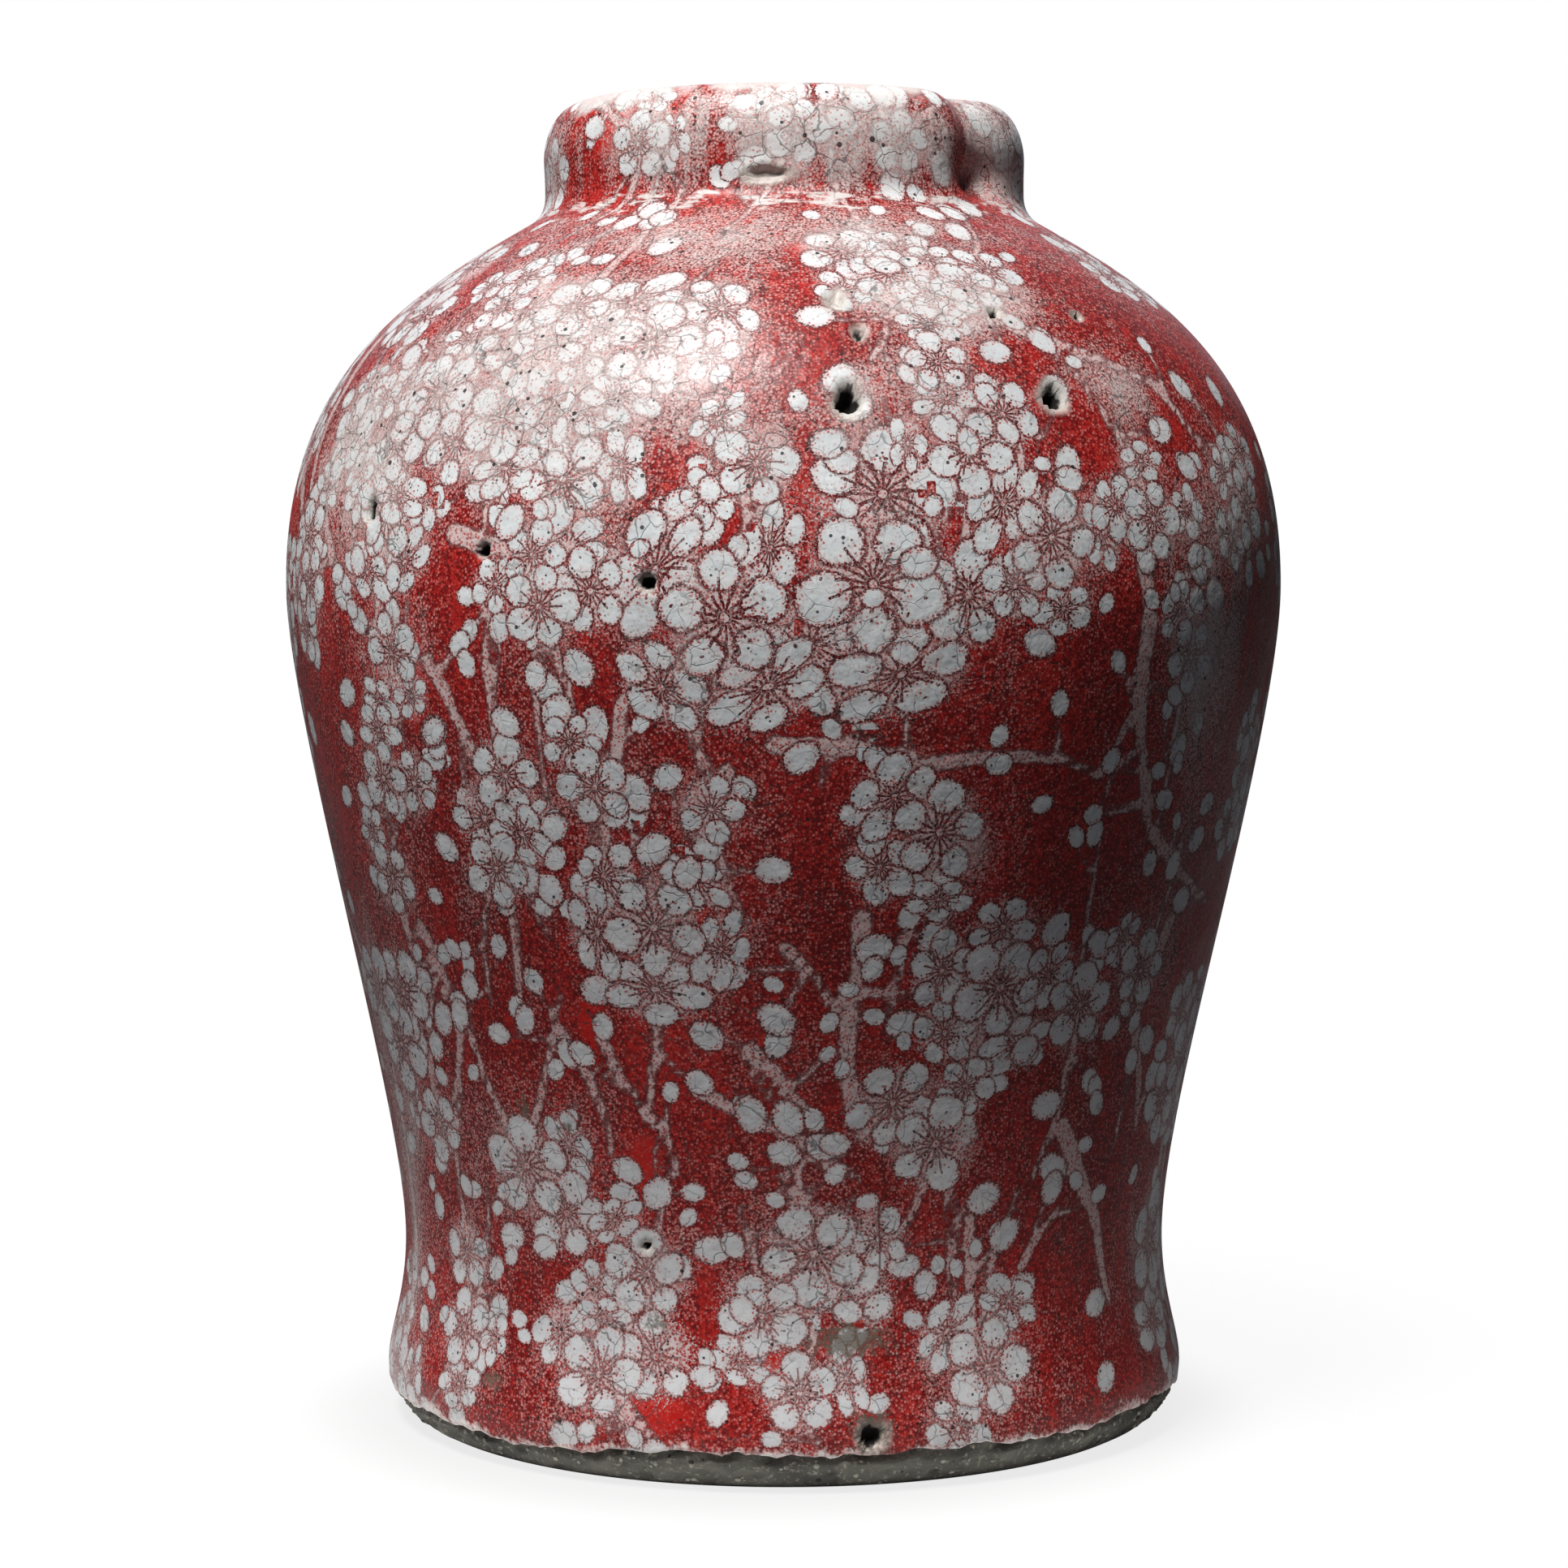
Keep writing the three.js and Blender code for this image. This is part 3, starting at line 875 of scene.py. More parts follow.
def turning_tree():
    """Revolves the outline it is given, a chain of points in the XZ plane, about the axis."""
    inputs = {"Outline": "Geometry", "Columns": "Int", "Rows": "Int", "Finish": "Material"}
    tree, given = new_tree("turned_clay", "GeometryNodeTree", inputs, {"Clay": "Geometry"})
    wide = add(tree, MATH, [(given, "Columns"), 1], operation="ADD")
    grid = add(tree, "GeometryNodeMeshGrid", {"Vertices X": wide, "Vertices Y": (given, "Rows")})
    index = add(tree, "GeometryNodeInputIndex")
    column = add(tree, MATH, [index, (given, "Rows")], operation="DIVIDE")
    column = add(tree, MATH, [column], operation="FLOOR")
    row = add(tree, MATH, [index, (given, "Rows")], operation="FLOORED_MODULO")
    share = add(tree, MATH, [column, (given, "Columns")], operation="DIVIDE")
    turn = add(tree, MATH, [share, 2 * math.pi], operation="MULTIPLY")
    place = add(tree, "GeometryNodeInputPosition")
    sample = add(
        tree, "GeometryNodeSampleIndex", {"Geometry": (given, "Outline"), "Value": place, "Index": row},
        data_type="FLOAT_VECTOR", domain="POINT",
    )
    turned = add(tree, "ShaderNodeVectorRotate", {"Vector": sample, "Angle": turn}, rotation_type="Z_AXIS")
    moved = add(tree, "GeometryNodeSetPosition", {"Geometry": grid, "Position": turned})
    merged = add(tree, "GeometryNodeMergeByDistance", {"Geometry": moved, "Distance": 1e-6})
    even = add(tree, "GeometryNodeSetShadeSmooth", {"Geometry": merged})
    realized = add(tree, "GeometryNodeRealizeInstances", {"Geometry": even})
    finished = add(tree, "GeometryNodeSetMaterial", {"Geometry": realized, "Material": (given, "Finish")})
    add(tree, "NodeGroupOutput", [finished])
    return tree


def grain_tree():
    """Scatters small sharp grains of grog over the bare part of a clay surface."""
    inputs = {"Clay": "Geometry", "Density": "Float", "Size": "Float", "Seed": "Int", "Finish": "Material"}
    tree, given = new_tree("grog_grains", "GeometryNodeTree", inputs, {"Grains": "Geometry"})
    bare = add(tree, "GeometryNodeInputNamedAttribute", {"Name": "bare"}, data_type="FLOAT")
    dense = add(tree, MATH, [bare, (given, "Density")], operation="MULTIPLY")
    spots = add(
        tree, "GeometryNodeDistributePointsOnFaces",
        {"Mesh": (given, "Clay"), "Density": dense, "Seed": (given, "Seed")},
    )
    grain = add(tree, "GeometryNodeMeshIcoSphere", {"Radius": (given, "Size"), "Subdivisions": 1})
    spread = {0: GRAIN_LEAST, 1: GRAIN_MOST, "Seed": (given, "Seed")}
    scale = add(tree, "FunctionNodeRandomValue", spread, data_type="FLOAT_VECTOR")
    grains = add(
        tree, "GeometryNodeInstanceOnPoints",
        {"Points": spots, "Instance": grain, "Rotation": (spots, "Rotation"), "Scale": scale},
    )
    realized = add(tree, "GeometryNodeRealizeInstances", {"Geometry": grains})
    finished = add(tree, "GeometryNodeSetMaterial", {"Geometry": realized, "Material": (given, "Finish")})
    add(tree, "NodeGroupOutput", [finished])
    return tree


def run_tree(tree, mesh, values):
    """The plain mesh that a tree makes from a mesh, with its inputs set by identifier."""
    holder = bpy.data.objects.new("holder", mesh)
    bpy.context.collection.objects.link(holder)
    modifier = holder.modifiers.new("tree", "NODES")
    modifier.node_group = tree
    for item in tree.interface.items_tree:
        if item.in_out == "INPUT" and item.name in values:
            modifier[item.identifier] = values[item.name]
    graph = bpy.context.evaluated_depsgraph_get()
    made = bpy.data.meshes.new_from_object(holder.evaluated_get(graph))
    bpy.data.objects.remove(holder)
    return made


def turned_mesh(tree, name, points, columns, finish, closed=True):
    """A turned piece from an outline in mm, as a closed mesh facing out."""
    points = np.asarray(points)
    if closed:
        points = np.vstack([points, points[:1]])
    chain = bpy.data.meshes.new(name + "_outline")
    chain.from_pydata([(r * MM, 0, z * MM) for r, z in points], [], [])
    made = run_tree(tree, chain, {"Columns": columns, "Rows": len(points), "Finish": finish})
    made.name = name
    work = bmesh.new()
    work.from_mesh(made)
    bmesh.ops.recalc_face_normals(work, faces=work.faces)
    work.to_mesh(made)
    work.free()
    return made


def mesh_points(mesh):
    points = np.empty(len(mesh.vertices) * 3, np.float32)
    mesh.vertices.foreach_get("co", points)
    return points.reshape(-1, 3).astype(float) / MM


def place_points(mesh, points):
    mesh.vertices.foreach_set("co", (points * MM).astype(np.float32).ravel())
    mesh.update()


def add_piece(name, mesh, nodes):
    """Links a finished mesh, rides it on the body and hides the solids that it stands for."""
    piece = bpy.data.objects.new(name, mesh)
    bpy.context.collection.objects.link(piece)
    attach(piece, BODY)
    if nodes:
        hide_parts(*nodes)


def swirl_floor(mesh):
    """A spiral ridge left by the fingers on the floor's upper face."""
    points = mesh_points(mesh)
    radius = np.hypot(points[:, 0], points[:, 1])
    turn = np.arctan2(points[:, 0], -points[:, 1])
    fade = smooth(radius, 4, 14) * (1 - smooth(radius, 70, 79))
    upper = points[:, 2] > points[:, 2].mean()
    points[:, 2] += upper * fade * 0.6 * np.sin(2 * math.pi * radius / 11 + turn)
    place_points(mesh, points)


def roughen(points, size, height, seed):
    """Uneven clay: a few crossed waves that never line up, as a shift in mm."""
    rng = np.random.default_rng(seed)
    shift = np.zeros(len(points))
    for _ in range(9):
        way = rng.normal(size=3)
        way *= 2 * math.pi / (size * rng.uniform(0.6, 1.8)) / np.linalg.norm(way)
        shift += np.sin(points @ way + rng.uniform(0, 6.3))
    return shift * height / 3


# Materials

def blossom_group():
    """Draws one motif from its place on it: fill, ink lines and blush towards the heart."""
    inputs = {"Place": "Vector", "Rough": "Float"}
    outputs = dict.fromkeys(("Fill", "Ink", "Blush", "Heart"), "Float")
    tree, given = new_tree("blossom_motif", "ShaderNodeTree", inputs, outputs)
    spot = add(tree, "ShaderNodeTexCoord")
    # A hand-cut wobble with waves of 6 mm
    wobble = add(tree, NOISE, {"Vector": (spot, "Object"), "Scale": 160, "Detail": 3})
    wobble = add(tree, VECTOR, [(wobble, "Color"), (0.5, 0.5, 0.5)], operation="SUBTRACT")
    wobble = add(tree, VECTOR, [wobble, (0.19, 0.19, 0)], operation="MULTIPLY")
    drawn = add(tree, VECTOR, [given, wobble], operation="ADD")
    part = add(tree, "ShaderNodeSeparateXYZ", [drawn])
    tone = add(tree, MATH, [(part, "Z")], operation="ROUND")
    flat = add(tree, VECTOR, [drawn, (1, 1, 0)], operation="MULTIPLY")
    radius = add(tree, VECTOR, [flat], operation="LENGTH")
    turn = add(tree, MATH, [(part, "Y"), (part, "X")], operation="ARCTAN2")
    # Each petal has its own size and reach, drawn from its sector and the motif's tone
    fifth = 2 * math.pi / 5
    sector = add(tree, MATH, [turn, fifth], operation="DIVIDE")
    sector = add(tree, MATH, [sector, 0.5], operation="ADD")
    sector = add(tree, MATH, [sector], operation="FLOOR")
    key = add(tree, "ShaderNodeCombineXYZ", [sector, tone, 0.0])
    chance = add(tree, "ShaderNodeTexWhiteNoise", {"Vector": key}, noise_dimensions="3D")
    chances = add(tree, "ShaderNodeSeparateColor", [(chance, "Color")])
    bearing = add(tree, MATH, [sector, -fifth, turn], operation="MULTIPLY_ADD")
    cos = add(tree, MATH, [bearing], operation="COSINE")
    sin = add(tree, MATH, [bearing], operation="SINE")
    out = add(tree, MATH, [radius, cos], operation="MULTIPLY")
    side = add(tree, MATH, [radius, sin], operation="MULTIPLY")
    reach = add(tree, RANGE, {"Value": (chances, "Red"), "To Min": 0.56, "To Max": 0.66})
    size = add(tree, RANGE, {"Value": (chances, "Green"), "To Min": 0.29, "To Max": 0.385})
    out = add(tree, MATH, [out, reach], operation="SUBTRACT")
    away = add(tree, "ShaderNodeCombineXYZ", [out, side, 0.0])
    away = add(tree, VECTOR, [away], operation="LENGTH")
    petal = add(tree, MATH, [away, size], operation="SUBTRACT")
    missing = add(tree, MATH, [(chances, "Blue"), 0.97], operation="GREATER_THAN")
    petal = add(tree, MATH, [missing, petal], operation="ADD")
    # Print edges are ragged by about half a millimetre
    rough = add(tree, MATH, [(given, "Rough"), 0.5], operation="SUBTRACT")
    petal = add(tree, MATH, [rough, 0.15, petal], operation="MULTIPLY_ADD")
    inside = add(tree, RANGE, [petal, 0.02, -0.02])
    disc = add(tree, MATH, [rough, 1.3, radius], operation="MULTIPLY_ADD")
    disc = add(tree, RANGE, [disc, 0.86, 0.66, 0.0, 0.92])
    flower = add(tree, MATH, [inside, disc], operation="MAXIMUM")
    core = add(tree, RANGE, [petal, -0.02, -0.1])
    # A bud is an egg shape in a wider calyx
    egg = add(tree, VECTOR, [drawn, (0.86, 1.12, 0)], operation="MULTIPLY")
    egg = add(tree, VECTOR, [egg], operation="LENGTH")
    egg = add(tree, MATH, [egg, 0.92], operation="SUBTRACT")
    egg = add(tree, MATH, [rough, 0.4, egg], operation="MULTIPLY_ADD")
    calyx = add(tree, MATH, [egg, 0.16], operation="SUBTRACT")
    is_bud = add(tree, MATH, [tone, BUD / 2], operation="GREATER_THAN")
    wrapped = add(tree, RANGE, [calyx, 0.05, -0.05])
    fill = add(tree, MIX, [is_bud, flower, wrapped])
    # The ink outline, about 0.6 mm wide on a blossom and 0.5 mm on a bud
    line = add(tree, MIX, [is_bud, petal, calyx])
    line = add(tree, MATH, [line], operation="ABSOLUTE")
    width = add(tree, MIX, [is_bud, 0.035, 0.12])
    line = add(tree, MATH, [line, width], operation="DIVIDE")
    outline = add(tree, RANGE, [line, 1.1, 0.4])
    # Stamens are rays of uneven length, each with a loose dot beyond it
    rays = 15
    ray = add(tree, MATH, [turn, rays / (2 * math.pi)], operation="MULTIPLY")
    number = add(tree, MATH, [ray, 0.5], operation="ADD")
    number = add(tree, MATH, [number], operation="FLOOR")
    ray_key = add(tree, "ShaderNodeCombineXYZ", [number, tone, 3.0])
    ray_chance = add(tree, "ShaderNodeTexWhiteNoise", {"Vector": ray_key}, noise_dimensions="3D")
    ray_chances = add(tree, "ShaderNodeSeparateColor", [(ray_chance, "Color")])
    stop = add(tree, RANGE, {"Value": (ray_chances, "Red"), "To Min": 0.28, "To Max": 0.6})
    dot_stop = add(tree, RANGE, {"Value": (ray_chances, "Green"), "To Min": 0.36, "To Max": 0.74})
    across = add(tree, MATH, [ray, number], operation="SUBTRACT")
    across = add(tree, MATH, [across, 2 * math.pi / rays], operation="MULTIPLY")
    across = add(tree, MATH, [across, radius], operation="MULTIPLY")
    thin = add(tree, MATH, [across], operation="ABSOLUTE")
    thin = add(tree, MATH, [thin, 0.022], operation="LESS_THAN")
    inner = add(tree, MATH, [radius, stop], operation="LESS_THAN")
    outer = add(tree, MATH, [radius, 0.1], operation="GREATER_THAN")
    thin = add(tree, MATH, [thin, inner], operation="MULTIPLY")
    thin = add(tree, MATH, [thin, outer], operation="MULTIPLY")
    past = add(tree, MATH, [radius, dot_stop], operation="SUBTRACT")
    dot = add(tree, "ShaderNodeCombineXYZ", [past, across, 0.0])
    dot = add(tree, VECTOR, [dot], operation="LENGTH")
    dot = add(tree, MATH, [dot, 0.026], operation="LESS_THAN")
    ring = add(tree, MATH, [radius, 0.08], operation="SUBTRACT")
    ring = add(tree, MATH, [ring], operation="ABSOLUTE")
    ring = add(tree, MATH, [ring, 0.016], operation="LESS_THAN")
    stamens = add(tree, MATH, [thin, dot], operation="MAXIMUM")
    stamens = add(tree, MATH, [stamens, ring], operation="MAXIMUM")
    is_open = add(tree, MATH, [1.0, is_bud], operation="SUBTRACT")
    stamens = add(tree, MATH, [stamens, is_open], operation="MULTIPLY")
    ink = add(tree, MATH, [outline, stamens], operation="MAXIMUM")
    heart = add(tree, RANGE, [radius, 0.62, 0.2, 0.0, 0.66])
    off_petal = add(tree, RANGE, [core, 1.0, 0.0, 0.0, 0.86])
    blush = add(tree, MATH, [heart, off_petal], operation="MAXIMUM")
    husk = add(tree, RANGE, [egg, -0.3, 0.04, 0.0, 0.6])
    blush = add(tree, MIX, [is_bud, blush, husk])
    anthers = add(tree, RANGE, [radius, 0.72, 0.6])
    anthers = add(tree, MATH, [anthers, is_open], operation="MULTIPLY")
    add(tree, "NodeGroupOutput", [fill, ink, blush, anthers])
    return tree


def new_material(name):
    material = bpy.data.materials.new(name)
    material.use_nodes = True
    material.node_tree.nodes.clear()
    return material, material.node_tree


def tints(group, values):
    """The colours of a property group, opaque, by the first part of their names."""
    names = [name for name in group.__annotations__ if name.endswith("_colour")]
    return {name.removesuffix("_colour"): (*getattr(values, name), 1.0) for name in names}


def seen_share(tree, stage):
    """How far a ray sees the white surroundings: in full by eye and through glass, in part by gloss."""
    path = add(tree, "ShaderNodeLightPath")
    sheen = add(tree, MATH, [(path, "Is Glossy Ray"), stage.gloss_glow], operation="MULTIPLY")
    seen = add(tree, MATH, [(path, "Is Camera Ray"), sheen], operation="MAXIMUM")
    return add(tree, MATH, [seen, (path, "Is Transmission Ray")], operation="MAXIMUM")


# Heights in metres of the painted shade that greys the print, where a transfer sheet ends and where the
# print is faint
LOW_PAINTED_SHADE = (0.168, 0.12)
HIGH_PAINTED_SHADE = 0.246
HIGH_PAINTED_SHADE_REACH = (0.036, 0.02)
SEAM_MIDDLE = 0.06
SEAM_REACH = (0.016, 0.012)
FAINT_PRINT = (0.04, 0.13)


def glaze_material(look):
    """Raku crackle glaze over a stippled red transfer on slip: glossy, crazed, specked and worn pale, with
    a painted highlight in the shoulder's wear and painted shade by height.
    """
    material, tree = new_material("raku_crackle_glaze")
    spot = add(tree, "ShaderNodeTexCoord")
    where = (spot, "Object")
    tint = tints(VasePrint, look)
    field = {}
    for name in ("branch", "hole", "halo", "glaze_edge", "fresh", "worn", "soot", "haze", "crease"):
        field[name] = (add(tree, "ShaderNodeAttribute", attribute_name=name), "Fac")
    # Stipple dots 0.6 mm apart, a little coarser than the print's own so that they show
    grain = add(tree, NOISE, {"Vector": where, "Scale": 1900, "Detail": 1, "Roughness": 0.5})
    stipple = add(tree, CELLS, {"Vector": where, "Scale": 1700})
    cell = add(tree, RANGE, [(stipple, "Distance"), 0.66, 0.26])
    draw = add(tree, "ShaderNodeSeparateColor", [(stipple, "Color")])
    dark = add(tree, NOISE, {"Vector": where, "Scale": 900, "Detail": 2, "Roughness": 0.6})
    # Mottling over 15 mm
    mottle = add(tree, NOISE, {"Vector": where, "Scale": 66, "Detail": 4, "Roughness": 0.62})
    # Wear, which on the lit shoulder and collar is partly a painted highlight
    wear_and_highlight = add(tree, MATH, [field["worn"], 0.6, -0.2], operation="MULTIPLY_ADD")
    wear_and_highlight = add(tree, MATH, [mottle, 0.7, wear_and_highlight], operation="MULTIPLY_ADD")
    wear_and_highlight = add(tree, MATH, [field["haze"], 0.26, wear_and_highlight], operation="MULTIPLY_ADD")
    # Streaks 5 mm wide and ten times as long, where the wet print was pulled down
    tall = add(tree, VECTOR, [where, (1, 1, 0.1)], operation="MULTIPLY")
    streak = add(tree, NOISE, {"Vector": tall, "Scale": 200, "Detail": 2})
    wear_and_highlight = add(tree, MATH, [streak, 0.6, wear_and_highlight], operation="MULTIPLY_ADD")
    wear_and_highlight = add(tree, MATH, [wear_and_highlight, 0.28], operation="SUBTRACT")
    level = add(tree, "ShaderNodeSeparateXYZ", [where])
    top = VaseForm.bl_rna.properties["height"].default
    upper = add(tree, RANGE, [(level, "Z"), top - 0.03, top - 0.02])
    pulled = add(tree, MATH, [streak, 0.5], operation="SUBTRACT")
    pulled = add(tree, MATH, [pulled, upper], operation="MULTIPLY")
    wear_and_highlight = add(tree, MATH, [pulled, 1.2, wear_and_highlight], operation="MULTIPLY_ADD")
    wear_and_highlight = add(tree, "ShaderNodeClamp", [wear_and_highlight])
    patch = add(tree, MATH, [mottle, 1.6, -0.8], operation="MULTIPLY_ADD")
    patch = add(tree, MATH, [field["fresh"], patch], operation="ADD")
    fresh = add(tree, RANGE, [patch, 0.40, 0.7, 0.0, 0.85])
    # Pale grains where wear is high, which takes in the painted highlight on the lit shoulder
    share = add(tree, MATH, [wear_and_highlight, 1.2, 0.26], operation="MULTIPLY_ADD")
    share = add(tree, MATH, [(draw, "Red"), share], operation="SUBTRACT")
    pale = add(tree, RANGE, [share, 0.08, -0.08, 0.0, 0.85])
    pale = add(tree, MATH, [pale, cell], operation="MULTIPLY")
    stay = add(tree, RANGE, [fresh, 0.0, 1.0, 1.0, 0.12])
    pale = add(tree, MATH, [pale, stay], operation="MULTIPLY")
    # Deeper and brighter areas over 40 mm
    broad = add(tree, NOISE, {"Vector": where, "Scale": 25, "Detail": 2})
    deep = add(tree, MATH, [broad, 0.5, dark], operation="MULTIPLY_ADD")
    deep = add(tree, MATH, [cell, -0.3, deep], operation="MULTIPLY_ADD")
    deep = add(tree, MATH, [streak, 0.7, deep], operation="MULTIPLY_ADD")
    deep = add(tree, RANGE, [deep, 0.68, 1.12])
    ground = add(tree, MIX, [deep, tint["red"], tint["deep"]], data_type="RGBA")
    ground = add(tree, MIX, [fresh, ground, tint["fresh"]], data_type="RGBA")
    bleach = add(tree, MATH, [(draw, "Blue"), 0.4, wear_and_highlight], operation="MULTIPLY_ADD")
    bleach = add(tree, RANGE, [bleach, 0.34, 0.86])
    worn = add(tree, MIX, [bleach, tint["coral"], tint["pink"]], data_type="RGBA")
    ground = add(tree, MIX, [pale, ground, worn], data_type="RGBA")
    strong = add(tree, RANGE, [grain, 0.38, 0.55, 0.55, 1.0])
    # Pale stipple of the branches and hearts
    half = add(tree, RANGE, [(draw, "Green"), 0.66, 0.58])
    half = add(tree, MATH, [half, cell], operation="MULTIPLY")
    rose = add(tree, MIX, [half, tint["blush"], tint["rose"]], data_type="RGBA")
    ragged = add(tree, MATH, [dark, 1.7, -0.85], operation="MULTIPLY_ADD")
    stem = add(tree, MATH, [field["branch"], ragged], operation="ADD")
    stem_fill = add(tree, RANGE, [stem, 0.3, -0.4, 0.0, 0.9])
    stem_line = add(tree, MATH, [stem], operation="ABSOLUTE")
    stem_line = add(tree, RANGE, [stem_line, 0.45, 0.1, 0.0, 0.8])
    stem_line = add(tree, MATH, [stem_line, strong], operation="MULTIPLY")
    image = add(tree, MIX, [stem_fill, ground, rose], data_type="RGBA")
    image = add(tree, MIX, [stem_line, image, tint["ink"]], data_type="RGBA")
    # Motifs lie over each other, the lowest first
    group = blossom_group()
    shade = add(tree, RANGE, [mottle, 0.4, 0.65])
    white = add(tree, MIX, [shade, tint["petal"], tint["grey"]], data_type="RGBA")
    anther = add(tree, MATH, [(draw, "Blue"), 0.955], operation="GREATER_THAN")
    anther = add(tree, MATH, [anther, cell], operation="MULTIPLY")
    faint = add(tree, RANGE, [(level, "Z"), *FAINT_PRINT, 0.75, 1.0])
    inked = add(tree, MATH, [strong, faint], operation="MULTIPLY")
    for i in range(LAYERS):
        place = add(tree, "ShaderNodeAttribute", attribute_name=f"motif_{i}")
        motif = add(tree, "ShaderNodeGroup", [(place, "Vector"), grain], node_tree=group)
        dots = add(tree, MATH, [(draw, "Green"), (motif, "Blush")], operation="SUBTRACT")
        dots = add(tree, RANGE, [dots, 0.04, -0.04])
        dots = add(tree, MATH, [dots, cell], operation="MULTIPLY")
        leaf = add(tree, MIX, [(motif, "Blush"), white, tint["blush"]], data_type="RGBA")
        leaf = add(tree, MIX, [dots, leaf, tint["rose"]], data_type="RGBA")
        image = add(tree, MIX, [(motif, "Fill"), image, leaf], data_type="RGBA")
        ink = add(tree, MATH, [(motif, "Ink"), inked], operation="MULTIPLY")
        image = add(tree, MIX, [ink, image, tint["ink"]], data_type="RGBA")
        pollen = add(tree, MATH, [(motif, "Heart"), anther], operation="MULTIPLY")
        image = add(tree, MIX, [pollen, image, tint["speck"]], data_type="RGBA")
    # The upright edge of a transfer sheet, a dark line 0.4 mm wide from 46 to 74 mm up
    turned = (math.cos(SEAM), math.sin(SEAM), 0)
    seam = add(tree, VECTOR, [where, turned], operation="DOT_PRODUCT")
    seam = add(tree, MATH, [mottle, 0.004, (seam, "Value")], operation="MULTIPLY_ADD")
    seam = add(tree, MATH, [seam, 0.002], operation="SUBTRACT")
    seam = add(tree, MATH, [seam], operation="ABSOLUTE")
    seam = add(tree, RANGE, [seam, 0.0004, 0.0001, 0.0, 0.75])
    rise = add(tree, MATH, [(level, "Z"), SEAM_MIDDLE], operation="SUBTRACT")
    rise = add(tree, MATH, [rise], operation="ABSOLUTE")
    rise = add(tree, RANGE, [rise, *SEAM_REACH])
    ahead = add(tree, MATH, [(level, "Y"), 0.0], operation="LESS_THAN")
    seam = add(tree, MATH, [seam, rise], operation="MULTIPLY")
    seam = add(tree, MATH, [seam, ahead], operation="MULTIPLY")
    image = add(tree, MIX, [seam, image, tint["ink"]], data_type="RGBA")
    # Worn places where the print is thin and the white slip shows, on the lit shoulder and collar partly a
    # painted highlight
    thin = add(tree, MATH, [grain, 1.3, wear_and_highlight], operation="MULTIPLY_ADD")
    thin = add(tree, RANGE, [thin, 1.2, 1.6, 0.0, 0.62])
    image = add(tree, MIX, [thin, image, tint["slip"]], data_type="RGBA")
    dust = add(tree, RANGE, [(draw, "Green"), 0.74, 0.82, 0.0, 0.75])
    dust = add(tree, MATH, [dust, cell], operation="MULTIPLY")
    dust = add(tree, MATH, [dust, wear_and_highlight], operation="MULTIPLY")
    image = add(tree, MIX, [dust, image, tint["rose"]], data_type="RGBA")
    # Torn glaze along the crease under the collar, in flakes 8 mm wide
    flat = add(tree, VECTOR, [where, (1, 1, 4)], operation="MULTIPLY")
    torn = add(tree, NOISE, {"Vector": flat, "Scale": 130, "Detail": 3, "Roughness": 0.6})
    torn = add(tree, MATH, [field["crease"], torn], operation="MULTIPLY")
    torn = add(tree, RANGE, [torn, 0.5, 0.6, 0.0, 0.8])
    image = add(tree, MIX, [torn, image, tint["slip"]], data_type="RGBA")
    # Smoked crackle in cells of 5 mm, each line broken here and there
    bend = add(tree, NOISE, {"Vector": where, "Scale": 90, "Detail": 3})
    gap = add(tree, RANGE, [bend, 0.38, 0.5])
    bend = add(tree, VECTOR, [(bend, "Color"), (0.011, 0.011, 0.011)], operation="MULTIPLY")
    bent = add(tree, VECTOR, [where, bend], operation="ADD")
    crack = add(tree, CELLS, {"Vector": bent, "Scale": 190}, feature="DISTANCE_TO_EDGE")
    crack = add(tree, RANGE, [crack, 0.032, 0.008])
    broken = add(tree, MATH, [wear_and_highlight, 0.14, mottle], operation="MULTIPLY_ADD")
    broken = add(tree, RANGE, [broken, 0.38, 0.64, 0.1, 0.65])
    broken = add(tree, MATH, [broken, gap], operation="MULTIPLY")
    crack = add(tree, MATH, [crack, broken], operation="MULTIPLY")
    image = add(tree, MIX, [crack, image, tint["crackle"]], data_type="RGBA")
    # Iron specks up to 0.6 mm across, on some of the cells 2.4 mm apart
    speck = add(tree, CELLS, {"Vector": where, "Scale": 420})
    chosen = add(tree, "ShaderNodeSeparateColor", [(speck, "Color")])
    chosen = add(tree, RANGE, [(chosen, "Red"), 0.5, 1.0, 0.0, 0.14])
    chosen = add(tree, MATH, [chosen, wear_and_highlight, chosen], operation="MULTIPLY_ADD")
    dot = add(tree, MATH, [(speck, "Distance"), chosen], operation="LESS_THAN")
    dot = add(tree, MATH, [dot, 0.9], operation="MULTIPLY")
    image = add(tree, MIX, [dot, image, tint["speck"]], data_type="RGBA")
    # Painted shade greys the print on the brightly lit shoulder and below the belly, where the wall turns
    # down from the light
    low = add(tree, RANGE, [(level, "Z"), *LOW_PAINTED_SHADE])
    high = add(tree, MATH, [(level, "Z"), HIGH_PAINTED_SHADE], operation="SUBTRACT")
    high = add(tree, MATH, [high], operation="ABSOLUTE")
    high = add(tree, RANGE, [high, *HIGH_PAINTED_SHADE_REACH, 0.0, 0.6])
    smoke = add(tree, MATH, [low, high], operation="MAXIMUM")
    image = add(tree, MIX, [smoke, image, tint["smoke"]], data_type="RGBA", blend_type="MULTIPLY")
    # The lip is wiped white, with a ragged lower edge
    level = add(tree, MATH, [mottle, 0.02, (level, "Z")], operation="MULTIPLY_ADD")
    lip = add(tree, RANGE, [level, top + 0.0065, top + 0.009, 0.0, 0.7])
    image = add(tree, MIX, [lip, image, tint["slip"]], data_type="RGBA")
